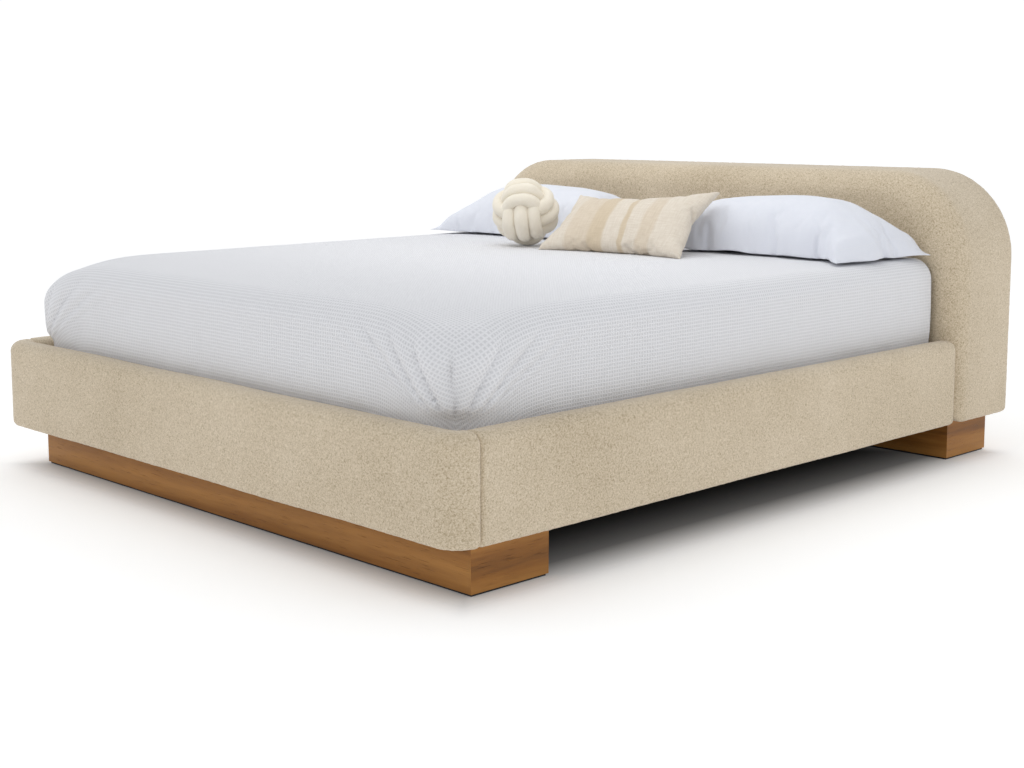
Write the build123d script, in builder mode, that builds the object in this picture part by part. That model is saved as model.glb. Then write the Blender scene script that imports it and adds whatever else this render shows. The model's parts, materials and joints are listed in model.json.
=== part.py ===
"""King-size upholstered platform bed with its bedding.

A low bed on two timber plinths. The rails and the headboard are timber cores
padded with foam and covered in looped-pile cloth. A slatted deck carries a
mattress, a blanket, two pillows and two cushions.

Frame: origin on the floor under the middle of the bed, +Z up, +Y towards the
headboard, +X to the right of someone who stands at the foot and faces the head.
All sizes are millimetres.
"""
from build123d import *
from math import cos, hypot, radians, sin
import os

os.makedirs("parts", exist_ok=True)

# ---------------------------------------------------------------- bedding sizes
mattress_width = 1930
mattress_length = 2030
mattress_depth = 305
mattress_corner_radius = 60
mattress_edge_radius = 30
blanket_thickness = 5
blanket_tuck = 42
blanket_head_margin = 12
pillow_length = 800
pillow_width = 410
pillow_thickness = 195
pillow_head_gap = 6
lumbar_length = 560
lumbar_width = 310
lumbar_thickness = 96
lumbar_turn = 8
lumbar_lean = 34
lumbar_past_pillow = 52
lumbar_pillow_gap = 9
lumbar_blanket_gap = 7
knot_diameter = 236
knot_lumbar_gap = 6
rest_gap = 0.5

# ---------------------------------------------------------------- frame sizes
side_gap = 19
foot_gap = 8
head_gap = 3
rail_thickness = 80
rail_height = 268
rail_top_radius = 28
rail_bottom_radius = 16
rail_inner_corner = 2
rail_core_thickness = 36
rail_inner_foam = 14
rail_top_foam = 18
cover_thickness = 3
headboard_depth = 343
headboard_height = 794
headboard_corner_radius = 286
headboard_front_radius = 70
headboard_back_radius = 30
headboard_front_foam = 70
headboard_edge_foam = 40
headboard_panel_thickness = 12
headboard_hoop_thickness = 22
headboard_rail_thickness = 45
headboard_stile_thickness = 45
headboard_stile_spacing = 700
back_cloth_inset = 75

# ---------------------------------------------------------------- plinth sizes
plinth_height = 128
plinth_past_well = 9
foot_plinth_inset = 111
foot_plinth_depth = 256
head_plinth_inset = 22
head_plinth_depth = 240
plinth_board = 22
plinth_top_board = 18
glide_height = 6
glide_width = 12
glide_inset = 5

# ---------------------------------------------------------------- deck sizes
slat_count = 11
slat_width = 120
slat_thickness = 18
slat_end_gap = 4
slat_first_gap = 15
slat_top_below_rail = 58
strap_width = 25
strap_thickness = 1
strap_position = 520
ledge_width = 30
ledge_height = 40
ledge_end_gap = 15
beam_width = 45
beam_height = 90
hanger_plate = 3
hanger_flange = 35
hanger_seat_length = 60
bearer_width = 60
leg_count = 3
leg_diameter = 42
leg_plate_length = 90
leg_plate_thickness = 4
foot_disk_diameter = 50
foot_disk_height = 8
stem_diameter = 10
stem_clearance = 0.05
stem_engagement = 40
levelling_travel = 12
levelling_gap = 16
bracket_leg = 60
bracket_height = 100
bracket_thickness = 4
bracket_below_ledge = 16
bolt_diameter = 8
bolt_head_diameter = 16
bolt_head_height = 5
bolt_spacing = 50
bolt_past_core = 10
bolt_from_corner = 34

# ---------------------------------------------------------------- worked-out places
overall_width = mattress_width + 2 * side_gap + 2 * rail_thickness
well_length = foot_gap + mattress_length + head_gap
overall_length = rail_thickness + well_length + headboard_depth
half_width = overall_width / 2
well_half_width = half_width - rail_thickness
foot_face_y = -overall_length / 2
foot_inner_y = foot_face_y + rail_thickness
head_front_y = foot_inner_y + well_length
head_back_y = overall_length / 2
corner_x = well_half_width - rail_inner_corner
seam_y = foot_inner_y + rail_inner_corner
rail_bottom_z = glide_height + plinth_height
rail_top_z = rail_bottom_z + rail_height
slat_top_z = rail_top_z - slat_top_below_rail
slat_bottom_z = slat_top_z - slat_thickness
mattress_foot_y = foot_inner_y + foot_gap
mattress_head_y = mattress_foot_y + mattress_length
mattress_top_z = slat_top_z + mattress_depth
blanket_top_z = mattress_top_z + blanket_thickness
top_radius = min(rail_top_radius, 0.4 * rail_thickness)
bottom_radius = min(rail_bottom_radius, 0.3 * rail_thickness)


def save(part, label):
    """Label a finished piece and write it under the same name."""
    part.label = label
    export_step(part, f"parts/{label}.step")


def block(low, high):
    """A plain block between two opposite corners."""
    size = [b - a for a, b in zip(low, high)]
    middle = tuple((a + b) / 2 for a, b in zip(low, high))
    with BuildPart() as piece:
        with Locations(middle):
            Box(*size)
    return piece.part


# ---------------------------------------------------------------- corner hardware places
bracket_top_z = slat_bottom_z - ledge_height - bracket_below_ledge
bracket_middle_z = bracket_top_z - bracket_height / 2
bolt_heights = (bracket_middle_z - bolt_spacing / 2, bracket_middle_z + bolt_spacing / 2)
rail_bolt_reach = cover_thickness + rail_inner_foam + rail_core_thickness - bolt_past_core
head_bolt_reach = (cover_thickness + headboard_front_foam + headboard_panel_thickness
                   + bolt_past_core)

# Each bolt: the point on the bracket's outer side where its head sits, its direction, its reach.
side_bolts = [
    ((side * (well_half_width - bracket_thickness), corner_y + inward * bolt_from_corner, z),
     (side, 0, 0), rail_bolt_reach)
    for side in (-1, 1)
    for corner_y, inward in ((foot_inner_y, 1), (head_front_y, -1))
    for z in bolt_heights
]
foot_bolts = [
    ((side * (well_half_width - bolt_from_corner), foot_inner_y + bracket_thickness, z),
     (0, -1, 0), rail_bolt_reach)
    for side in (-1, 1)
    for z in bolt_heights
]
head_bolts = [
    ((side * (well_half_width - bolt_from_corner), head_front_y - bracket_thickness, z),
     (0, 1, 0), head_bolt_reach)
    for side in (-1, 1)
    for z in bolt_heights
]


def drill(bolts):
    """Bore a hole for each bolt into the part that is being built."""
    for place, direction, reach in bolts:
        with Locations(Plane(origin=place, z_dir=direction)):
            Cylinder(bolt_diameter / 2, bracket_thickness + reach,
                     align=(Align.CENTER, Align.CENTER, Align.MIN), mode=Mode.SUBTRACT)


# ---------------------------------------------------------------- rails
def rail_section(plane, middle, inset):
    """A rail's section on an upright plane, or the same section shrunk by an inset."""
    with BuildSketch(plane) as section:
        with Locations((middle, rail_bottom_z + rail_height / 2)):
            Rectangle(rail_thickness - 2 * inset, rail_height - 2 * inset)
        fillet(vertices().group_by(Axis.Y)[-1], top_radius - inset)
        fillet(vertices().group_by(Axis.Y)[0], bottom_radius - inset)
    return section.sketch


def foot_rail_form(inset):
    """The foot rail: a straight run that turns a quarter circle at each end to meet a side rail."""
    middle_y = foot_inner_y - rail_thickness / 2
    with BuildPart() as form:
        left_section = rail_section(Plane.YZ.offset(-corner_x), middle_y, inset)
        extrude(left_section, amount=2 * corner_x)
        for side in (-1, 1):
            end_section = rail_section(Plane.YZ.offset(side * corner_x), middle_y, inset)
            corner = Axis((side * corner_x, seam_y, 0), (0, 0, side))
            revolve(end_section, axis=corner, revolution_arc=90)
    return form.part


core_top_z = rail_top_z - cover_thickness - rail_top_foam
foot_core_back = foot_inner_y - cover_thickness - rail_inner_foam
foot_core_blank = block(
    (-corner_x, foot_core_back - rail_core_thickness, rail_bottom_z),
    (corner_x, foot_core_back, core_top_z),
)

with BuildPart() as foot_rail_core:
    add(foot_core_blank)
    drill(foot_bolts)
save(foot_rail_core.part, "foot_rail_core")

with BuildPart() as foot_rail_foam:
    add(foot_rail_form(cover_thickness))
    add(foot_core_blank, mode=Mode.SUBTRACT)
    drill(foot_bolts)
save(foot_rail_foam.part, "foot_rail_foam")

with BuildPart() as foot_rail_cover:
    add(foot_rail_form(0))
    add(foot_rail_form(cover_thickness), mode=Mode.SUBTRACT)
    add(foot_core_blank, mode=Mode.SUBTRACT)
    drill(foot_bolts)
save(foot_rail_cover.part, "foot_rail_cover")


# ---------------------------------------------------------------- side rails
def side_rail_form(side, inset):
    """A side rail's outer form, or the same form shrunk all round by an inset."""
    middle_x = side * (well_half_width + rail_thickness / 2)
    with BuildPart() as form:
        section = rail_section(Plane.XZ.offset(-seam_y - inset), middle_x, inset)
        extrude(section, amount=-(head_front_y - seam_y - 2 * inset))
    return form.part


for side, side_name in ((-1, "left"), (1, "right")):
    bolts_here = [bolt for bolt in side_bolts if bolt[1][0] == side]
    core_near = well_half_width + cover_thickness + rail_inner_foam
    core_x = sorted((side * core_near, side * (core_near + rail_core_thickness)))
    side_core_blank = block(
        (core_x[0], seam_y + cover_thickness, rail_bottom_z),
        (core_x[1], head_front_y - cover_thickness, core_top_z),
    )

    with BuildPart() as side_rail_core:
        add(side_core_blank)
        drill(bolts_here)
    save(side_rail_core.part, f"side_rail_core_{side_name}")

    with BuildPart() as side_rail_foam:
        add(side_rail_form(side, cover_thickness))
        add(side_core_blank, mode=Mode.SUBTRACT)
        drill(bolts_here)
    save(side_rail_foam.part, f"side_rail_foam_{side_name}")

    with BuildPart() as side_rail_cover:
        add(side_rail_form(side, 0))
        add(side_rail_form(side, cover_thickness), mode=Mode.SUBTRACT)
        add(side_core_blank, mode=Mode.SUBTRACT)
        drill(bolts_here)
    save(side_rail_cover.part, f"side_rail_cover_{side_name}")


# ---------------------------------------------------------------- headboard
headboard_top_z = rail_bottom_z + headboard_height
frame_inset = cover_thickness + headboard_edge_foam
frame_bottom_z = rail_bottom_z + cover_thickness
panel_front_y = head_front_y + cover_thickness + headboard_front_foam
panel_back_y = panel_front_y + headboard_panel_thickness
frame_back_y = head_back_y - cover_thickness
outline_radius = min(headboard_corner_radius, 0.45 * headboard_height)
front_radius = min(headboard_front_radius, 0.4 * headboard_depth)


def headboard_slab(inset, bottom_z, front_y, back_y):
    """A slab with the headboard's front outline, shrunk by an inset at the sides and top."""
    top_z = headboard_top_z - inset
    with BuildPart() as slab:
        with BuildSketch(Plane.XZ.offset(-front_y)):
            with Locations((0, (bottom_z + top_z) / 2)):
                Rectangle(overall_width - 2 * inset, top_z - bottom_z)
            fillet(vertices().group_by(Axis.Y)[-1], outline_radius - inset)
        extrude(amount=-(back_y - front_y))
    return slab.part


def headboard_form(inset):
    """The headboard's padded outer form, or the same form shrunk all round by an inset."""
    with BuildPart() as form:
        add(headboard_slab(inset, rail_bottom_z + inset, head_front_y + inset,
                           head_back_y - inset))
        fillet(faces().sort_by(Axis.Y)[0].edges().sort_by(Axis.Z)[1:], front_radius - inset)
        fillet(faces().sort_by(Axis.Y)[-1].edges().sort_by(Axis.Z)[1:],
               headboard_back_radius - inset)
    return form.part


with BuildPart() as headboard_panel:
    add(headboard_slab(frame_inset, frame_bottom_z, panel_front_y, panel_back_y))
    drill(head_bolts)
save(headboard_panel.part, "headboard_panel")

hoop_inner_inset = frame_inset + headboard_hoop_thickness
with BuildPart() as headboard_hoop:
    add(headboard_slab(frame_inset, frame_bottom_z, panel_back_y, frame_back_y))
    add(headboard_slab(hoop_inner_inset, frame_bottom_z, panel_back_y, frame_back_y),
        mode=Mode.SUBTRACT)
save(headboard_hoop.part, "headboard_hoop")

bottom_rail_top_z = frame_bottom_z + headboard_rail_thickness
bottom_rail_half = half_width - hoop_inner_inset
with BuildPart() as headboard_bottom_rail:
    add(block((-bottom_rail_half, panel_back_y, frame_bottom_z),
              (bottom_rail_half, frame_back_y, bottom_rail_top_z)))
save(headboard_bottom_rail.part, "headboard_bottom_rail")

for side, side_name in ((-1, "left"), (1, "right")):
    stile_x = side * headboard_stile_spacing / 2
    with BuildPart() as headboard_stile:
        add(block((stile_x - headboard_stile_thickness / 2, panel_back_y, bottom_rail_top_z),
                  (stile_x + headboard_stile_thickness / 2, frame_back_y,
                   headboard_top_z - hoop_inner_inset)))
    save(headboard_stile.part, f"headboard_stile_{side_name}")

with BuildPart() as headboard_foam:
    add(headboard_form(cover_thickness))
    add(headboard_slab(frame_inset, frame_bottom_z, panel_front_y, frame_back_y),
        mode=Mode.SUBTRACT)
    drill(head_bolts)
save(headboard_foam.part, "headboard_foam")

back_opening = headboard_slab(back_cloth_inset, rail_bottom_z + back_cloth_inset,
                              frame_back_y, head_back_y)
with BuildPart() as headboard_cover:
    add(headboard_form(0))
    add(headboard_form(cover_thickness), mode=Mode.SUBTRACT)
    add(back_opening, mode=Mode.SUBTRACT)
    drill(head_bolts)
save(headboard_cover.part, "headboard_cover")

with BuildPart() as headboard_back_cloth:
    add(back_opening)
save(headboard_back_cloth.part, "headboard_back_cloth")


# ---------------------------------------------------------------- plinths
def plinth_boards(prefix, low_x, high_x, low_y, high_y):
    """Four boards mitred at the corners of a plinth, and the glide strips under them."""
    outer = [(low_x, low_y), (high_x, low_y), (high_x, high_y), (low_x, high_y)]
    inner = [(low_x + plinth_board, low_y + plinth_board),
             (high_x - plinth_board, low_y + plinth_board),
             (high_x - plinth_board, high_y - plinth_board),
             (low_x + plinth_board, high_y - plinth_board)]
    for number, where in enumerate(("front", "right", "back", "left")):
        after = (number + 1) % 4
        with BuildPart() as plinth_side:
            with BuildSketch(Plane.XY.offset(glide_height)):
                with BuildLine():
                    Polyline(outer[number], outer[after], inner[after], inner[number], close=True)
                make_face()
            extrude(amount=plinth_height)
        save(plinth_side.part, f"{prefix}_plinth_{where}")

    low = (low_x + glide_inset, low_y + glide_inset)
    high = (high_x - glide_inset, high_y - glide_inset)
    strips = (
        ((low[0], low[1]), (high[0], low[1] + glide_width)),
        ((low[0], high[1] - glide_width), (high[0], high[1])),
        ((low[0], low[1] + glide_width + 1), (low[0] + glide_width, high[1] - glide_width - 1)),
        ((high[0] - glide_width, low[1] + glide_width + 1), (high[0], high[1] - glide_width - 1)),
    )
    with BuildPart() as glides:
        for start, end in strips:
            add(block((*start, 0), (*end, glide_height)))
    save(glides.part, f"{prefix}_glides")


plinth_half_width = well_half_width + plinth_past_well
foot_plinth_front_y = foot_face_y + foot_plinth_inset
foot_plinth_back_y = foot_plinth_front_y + foot_plinth_depth
head_plinth_back_y = head_back_y - head_plinth_inset
head_plinth_front_y = head_plinth_back_y - head_plinth_depth
plinth_boards("foot", -plinth_half_width, plinth_half_width,
              foot_plinth_front_y, foot_plinth_back_y)
plinth_boards("head", -plinth_half_width, plinth_half_width,
              head_plinth_front_y, head_plinth_back_y)

with BuildPart() as foot_plinth_top:
    add(block((-plinth_half_width + plinth_board, foot_plinth_front_y + plinth_board,
               rail_bottom_z - plinth_top_board),
              (plinth_half_width - plinth_board, foot_plinth_back_y - plinth_board,
               rail_bottom_z)))
save(foot_plinth_top.part, "foot_plinth_top")

# ---------------------------------------------------------------- centre beam and its supports
beam_bottom_z = slat_bottom_z - beam_height
bearer_y = (foot_plinth_front_y + foot_plinth_back_y) / 2
with BuildPart() as foot_bearer:
    add(block((-well_half_width, bearer_y - bearer_width / 2, rail_bottom_z),
              (well_half_width, bearer_y + bearer_width / 2, beam_bottom_z)))
save(foot_bearer.part, "foot_bearer")

with BuildPart() as centre_beam:
    add(block((-beam_width / 2, foot_inner_y + hanger_plate, beam_bottom_z),
              (beam_width / 2, head_front_y - hanger_plate, slat_bottom_z)))
save(centre_beam.part, "centre_beam")

with BuildPart() as beam_hangers:
    for face_y, inward in ((foot_inner_y, 1), (head_front_y, -1)):
        plate_y = face_y + inward * hanger_plate / 2
        seat_y = face_y + inward * (hanger_plate + hanger_seat_length / 2)
        with Locations((0, plate_y, slat_bottom_z - beam_height / 2)):
            Box(beam_width + 2 * hanger_flange, hanger_plate, beam_height)
        with Locations((0, seat_y, beam_bottom_z - hanger_plate / 2)):
            Box(beam_width + 2 * hanger_plate, hanger_seat_length, hanger_plate)
        with Locations((0, plate_y, beam_bottom_z - hanger_plate / 2)):
            Box(beam_width + 2 * hanger_plate, hanger_plate, hanger_plate)
        for side in (-1, 1):
            cheek_x = side * (beam_width + hanger_plate) / 2
            with Locations((cheek_x, seat_y, slat_bottom_z - beam_height / 2)):
                Box(hanger_plate, hanger_seat_length, beam_height)
save(beam_hangers.part, "beam_hangers")

leg_bottom_z = foot_disk_height + levelling_gap
leg_top_z = beam_bottom_z
bore_top_z = leg_bottom_z + stem_engagement + levelling_travel + stem_diameter / 2
leg_span = head_plinth_front_y - foot_plinth_back_y
for number in range(1, leg_count + 1):
    leg_y = foot_plinth_back_y + leg_span * number / (leg_count + 1)
    with BuildPart() as centre_leg:
        with Locations((0, leg_y, leg_bottom_z)):
            Cylinder(leg_diameter / 2, leg_top_z - leg_plate_thickness - leg_bottom_z,
                     align=(Align.CENTER, Align.CENTER, Align.MIN))
        with Locations((0, leg_y, leg_top_z - leg_plate_thickness / 2)):
            Box(beam_width, leg_plate_length, leg_plate_thickness)
        with Locations((0, leg_y, leg_bottom_z)):
            Cylinder(stem_diameter / 2 + stem_clearance, bore_top_z - leg_bottom_z,
                     align=(Align.CENTER, Align.CENTER, Align.MIN), mode=Mode.SUBTRACT)
    save(centre_leg.part, f"centre_leg_{number}")

    with BuildPart() as leveller:
        with Locations((0, leg_y, 0)):
            Cylinder(foot_disk_diameter / 2, foot_disk_height,
                     align=(Align.CENTER, Align.CENTER, Align.MIN))
        fillet(faces().sort_by(Axis.Z)[-1].edges(), foot_disk_height / 3)
        with Locations((0, leg_y, foot_disk_height)):
            Cylinder(stem_diameter / 2, levelling_gap + stem_engagement,
                     align=(Align.CENTER, Align.CENTER, Align.MIN))
    save(leveller.part, f"leveller_{number}")

# ---------------------------------------------------------------- slatted deck
for side, side_name in ((-1, "left"), (1, "right")):
    ledge_x = sorted((side * well_half_width, side * (well_half_width - ledge_width)))
    with BuildPart() as slat_ledge:
        add(block((ledge_x[0], foot_inner_y + ledge_end_gap, slat_bottom_z - ledge_height),
                  (ledge_x[1], head_front_y - ledge_end_gap, slat_bottom_z)))
    save(slat_ledge.part, f"slat_ledge_{side_name}")

slat_pitch = (well_length - 2 * slat_first_gap - slat_width) / (slat_count - 1)
slat_half_length = well_half_width - slat_end_gap
for number in range(slat_count):
    slat_front_y = foot_inner_y + slat_first_gap + number * slat_pitch
    with BuildPart() as slat:
        add(block((-slat_half_length, slat_front_y, slat_bottom_z),
                  (slat_half_length, slat_front_y + slat_width, slat_top_z)))
        fillet(edges().filter_by(Axis.X), slat_thickness / 6)
    save(slat.part, f"slat_{number + 1:02d}")

for side, side_name in ((-1, "left"), (1, "right")):
    strap_x = side * strap_position
    with BuildPart() as slat_strap:
        add(block((strap_x - strap_width / 2, foot_inner_y + slat_first_gap,
                   slat_bottom_z - strap_thickness),
                  (strap_x + strap_width / 2, head_front_y - slat_first_gap, slat_bottom_z)))
    save(slat_strap.part, f"slat_strap_{side_name}")

# ---------------------------------------------------------------- corner brackets and bolts
with BuildPart() as corner_brackets:
    for side in (-1, 1):
        for corner_y, inward in ((foot_inner_y, 1), (head_front_y, -1)):
            corner = (side * well_half_width, corner_y)
            with BuildSketch(Plane.XY.offset(bracket_top_z - bracket_height)):
                with BuildLine():
                    Polyline(
                        (corner[0], corner[1] + inward * rail_inner_corner),
                        (corner[0] - side * rail_inner_corner, corner[1]),
                        (corner[0] - side * bracket_leg, corner[1]),
                        (corner[0] - side * bracket_leg, corner[1] + inward * bracket_thickness),
                        (corner[0] - side * bracket_thickness,
                         corner[1] + inward * bracket_thickness),
                        (corner[0] - side * bracket_thickness, corner[1] + inward * bracket_leg),
                        (corner[0], corner[1] + inward * bracket_leg),
                        close=True,
                    )
                make_face()
            extrude(amount=bracket_height)
    drill(side_bolts + foot_bolts + head_bolts)
save(corner_brackets.part, "corner_brackets")

with BuildPart() as frame_bolts:
    for place, direction, reach in side_bolts + foot_bolts + head_bolts:
        with Locations(Plane(origin=place, z_dir=direction)):
            Cylinder(bolt_diameter / 2, bracket_thickness + reach,
                     align=(Align.CENTER, Align.CENTER, Align.MIN))
            Cylinder(bolt_head_diameter / 2, bolt_head_height,
                     align=(Align.CENTER, Align.CENTER, Align.MAX))
save(frame_bolts.part, "frame_bolts")


# ---------------------------------------------------------------- mattress and blanket
def mattress_form(grow, bottom_z):
    """The mattress, grown sideways and upwards, from a given height up."""
    with BuildPart() as form:
        with BuildSketch(Plane.XY.offset(bottom_z)):
            with Locations((0, (mattress_foot_y + mattress_head_y) / 2)):
                RectangleRounded(mattress_width + 2 * grow, mattress_length + 2 * grow,
                                 mattress_corner_radius + grow)
        extrude(amount=mattress_top_z + grow - bottom_z)
        fillet(faces().sort_by(Axis.Z)[-1].edges(), mattress_edge_radius + grow)
    return form.part


with BuildPart() as mattress:
    add(mattress_form(0, slat_top_z + rest_gap))
save(mattress.part, "mattress")

blanket_hem_z = rail_top_z - blanket_tuck
blanket_end_y = mattress_head_y - blanket_head_margin
with BuildPart() as blanket:
    add(mattress_form(blanket_thickness, blanket_hem_z))
    add(mattress_form(0, blanket_hem_z), mode=Mode.SUBTRACT)
    add(block((-half_width, blanket_end_y, blanket_hem_z - 1),
              (half_width, head_back_y, blanket_top_z + 1)), mode=Mode.SUBTRACT)
save(blanket.part, "blanket")


# ---------------------------------------------------------------- pillows and cushions
def soft_form(length, width, thickness, place):
    """A pillow: elliptical sections along its length, flat and narrow at both ends."""
    base = Plane(place)
    with BuildPart() as form:
        for share, width_share, thickness_share in (
            (-0.5, 0.80, 0.22),
            (-0.38, 0.94, 0.66),
            (0.0, 1.0, 1.0),
            (0.38, 0.94, 0.66),
            (0.5, 0.80, 0.22),
        ):
            section = Plane(origin=base.from_local_coords((share * length, 0, 0)),
                            x_dir=base.y_dir, z_dir=base.x_dir)
            with BuildSketch(section):
                Ellipse(width_share * width / 2, thickness_share * thickness / 2)
        loft()
    return form.part


bed_top_z = blanket_top_z + rest_gap
pillow_y = head_front_y - pillow_head_gap - pillow_width / 2
pillow_front_y = pillow_y - pillow_width / 2
pillow_x = mattress_width / 2 + blanket_thickness - pillow_length / 2
pillow_z = bed_top_z + pillow_thickness / 2
for side, side_name in ((-1, "left"), (1, "right")):
    with BuildPart() as pillow:
        add(soft_form(pillow_length, pillow_width, pillow_thickness,
                      Location((side * pillow_x, pillow_y, pillow_z))))
    save(pillow.part, f"pillow_{side_name}")

# The lumbar cushion leans back over the front of the right pillow.
lean = radians(lumbar_lean)
turn = radians(lumbar_turn)
lumbar_half_height = hypot(lumbar_width / 2 * sin(lean), lumbar_thickness / 2 * cos(lean))
lumbar_reach = (lumbar_width / 2 - lumbar_thickness / 2) * cos(lean)
lumbar_x = pillow_x - pillow_length / 2 - lumbar_past_pillow
lumbar_y = pillow_front_y - lumbar_pillow_gap - (lumbar_length / 2 * sin(turn) + lumbar_reach) / 2
lumbar_z = blanket_top_z + lumbar_blanket_gap + lumbar_half_height + lumbar_thickness * sin(turn) / 2
lumbar_place = Location((lumbar_x, lumbar_y, lumbar_z), (lumbar_lean, 0, lumbar_turn))
with BuildPart() as lumbar_cushion:
    add(soft_form(lumbar_length, lumbar_width, lumbar_thickness, lumbar_place))
save(lumbar_cushion.part, "lumbar_cushion")

# The knot cushion sits between the lumbar cushion's end and the front of the left pillow.
knot_radius = knot_diameter / 2
knot_x = lumbar_x - lumbar_length / 2 * cos(turn) - knot_lumbar_gap - knot_radius
knot_y = pillow_front_y - pillow_thickness / 6 - knot_radius
knot_place = (knot_x, knot_y, bed_top_z + knot_radius)
with BuildPart() as knot_cushion:
    with Locations(knot_place):
        Sphere(knot_radius)
save(knot_cushion.part, "knot_cushion")

# ---------------------------------------------------------------- what was made
print(f"overall {overall_width} x {overall_length} x {headboard_top_z} mm")
print(f"foot rail {foot_face_y} to {foot_inner_y}, headboard {head_front_y} to {head_back_y}")
print(f"slat gap {slat_pitch - slat_width:.1f}, slat top {slat_top_z}, blanket top {blanket_top_z}")
print(f"lumbar centre {lumbar_x:.0f}, {lumbar_y:.0f}, {lumbar_z:.0f}; knot {knot_x:.0f}, {knot_y:.0f}")
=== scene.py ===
# %% [markdown]
# # An upholstered platform bed, dressed for the shop floor
#
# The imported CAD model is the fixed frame. It holds every timber, board, bolt and slat at its
# real place. This file adds what a CAD model leaves plain: the looped-pile covers, the
# bedding, the cushions, the oak and the light.

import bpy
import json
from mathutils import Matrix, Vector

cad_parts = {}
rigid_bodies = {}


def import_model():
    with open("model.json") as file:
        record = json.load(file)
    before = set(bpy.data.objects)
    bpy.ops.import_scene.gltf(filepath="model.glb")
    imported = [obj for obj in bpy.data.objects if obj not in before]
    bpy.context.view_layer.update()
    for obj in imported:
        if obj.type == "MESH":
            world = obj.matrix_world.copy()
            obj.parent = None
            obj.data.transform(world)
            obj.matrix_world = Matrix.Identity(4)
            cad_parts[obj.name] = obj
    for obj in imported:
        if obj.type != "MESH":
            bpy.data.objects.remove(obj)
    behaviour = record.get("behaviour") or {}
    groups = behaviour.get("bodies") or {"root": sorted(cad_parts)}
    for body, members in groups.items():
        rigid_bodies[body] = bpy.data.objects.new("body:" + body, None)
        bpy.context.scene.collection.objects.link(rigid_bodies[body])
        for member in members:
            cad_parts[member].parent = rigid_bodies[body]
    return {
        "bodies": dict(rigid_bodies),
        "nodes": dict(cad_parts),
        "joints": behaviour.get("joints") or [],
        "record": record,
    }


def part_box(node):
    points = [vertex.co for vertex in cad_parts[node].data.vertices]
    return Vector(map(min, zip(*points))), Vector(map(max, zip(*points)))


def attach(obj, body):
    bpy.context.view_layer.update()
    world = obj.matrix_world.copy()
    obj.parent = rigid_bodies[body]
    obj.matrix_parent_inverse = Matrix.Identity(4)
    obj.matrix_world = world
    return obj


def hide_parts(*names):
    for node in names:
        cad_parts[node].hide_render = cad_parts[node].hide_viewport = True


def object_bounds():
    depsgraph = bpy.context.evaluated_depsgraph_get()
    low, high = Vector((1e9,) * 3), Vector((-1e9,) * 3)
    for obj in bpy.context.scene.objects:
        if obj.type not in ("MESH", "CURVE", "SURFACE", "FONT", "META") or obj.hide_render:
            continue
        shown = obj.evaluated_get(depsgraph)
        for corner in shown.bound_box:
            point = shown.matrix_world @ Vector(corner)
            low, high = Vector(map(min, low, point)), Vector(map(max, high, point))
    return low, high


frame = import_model()
cad_box = [list(corner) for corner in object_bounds()]

import json
from math import ceil, cos, hypot, pi, radians, sin

import bmesh
import bpy
import numpy as np
from mathutils import Matrix, Vector, noise
from mathutils.bvhtree import BVHTree

low_corner, high_corner = (Vector(c) for c in cad_box)
print("bed box", [round(v, 3) for v in high_corner - low_corner])

# %% [markdown]
# ## The camera and the light
#
# The camera has a longish lens and stands off the foot corner, 1.1 m above the floor. The
# lens is moved down a little in its mount, which keeps upright edges nearly upright. The
# room is bright, and brighter behind the bed than in front of it. A large soft box hangs
# overhead, a smaller one stands at the side, and a strip lights the headboard.

# %% Camera
camera_data = bpy.data.cameras.new("camera")
camera_data.sensor_width = 36.0
camera_data.lens = 55.33
camera_data.shift_y = -0.0625
camera = bpy.data.objects.new("camera", camera_data)
camera.location = (3.5747, -3.5106, 1.1054)
camera.rotation_euler = (radians(90 - 7.437), 0, radians(45.673))
bpy.context.collection.objects.link(camera)
bpy.context.scene.camera = camera
bpy.context.scene.view_settings.view_transform = "Standard"


# %% World, soft box and floor
def soft_light(name, place, aim, size, power):
    """A rectangular soft box that faces a point."""
    data = bpy.data.lights.new(name, "AREA")
    data.shape = "RECTANGLE"
    data.size, data.size_y = size
    data.energy = power
    light = bpy.data.objects.new(name, data)
    light.location = place
    light.rotation_euler = (Vector(aim) - Vector(place)).to_track_quat("-Z", "Y").to_euler()
    bpy.context.collection.objects.link(light)
    return light


world = bpy.data.worlds.new("bright room")
bpy.context.scene.world = world
world.use_nodes = True
world.node_tree.nodes["Background"].inputs["Color"].default_value = (0.97, 0.985, 1.0, 1)
sky = world.node_tree.nodes
facing = sky.new("ShaderNodeVectorMath")
facing.operation = "DOT_PRODUCT"
facing.inputs[1].default_value = (-0.85, 0.53, 0.0)
fade = sky.new("ShaderNodeMapRange")
fade.inputs["From Min"].default_value = -0.1
fade.inputs["From Max"].default_value = 0.8
fade.inputs["To Min"].default_value = 0.77
fade.inputs["To Max"].default_value = 1.05
joins = world.node_tree.links
joins.new(sky.new("ShaderNodeTexCoord").outputs["Generated"], facing.inputs[0])
joins.new(facing.outputs["Value"], fade.inputs["Value"])
joins.new(fade.outputs["Result"], sky["Background"].inputs["Strength"])
soft_light("overhead box", (-0.6, -0.4, 3.6), (0, 0.1, 0.4), (3.2, 3.4), 13)
soft_light("side box", (4.6, 1.2, 2.2), (0.6, 0.2, 0.5), (2.4, 2.0), 7)
soft_light("headboard strip", (0, -0.2, 1.9), (0, 1.0, 0.8), (2.2, 0.5), 6)

floor_mesh = bpy.data.meshes.new("floor")
floor_half = 40.0
floor_mesh.from_pydata([(-floor_half, -floor_half, 0), (floor_half, -floor_half, 0),
                        (floor_half, floor_half, 0), (-floor_half, floor_half, 0)],
                       [], [(0, 1, 2, 3)])
floor = bpy.data.objects.new("floor", floor_mesh)
bpy.context.collection.objects.link(floor)

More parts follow.
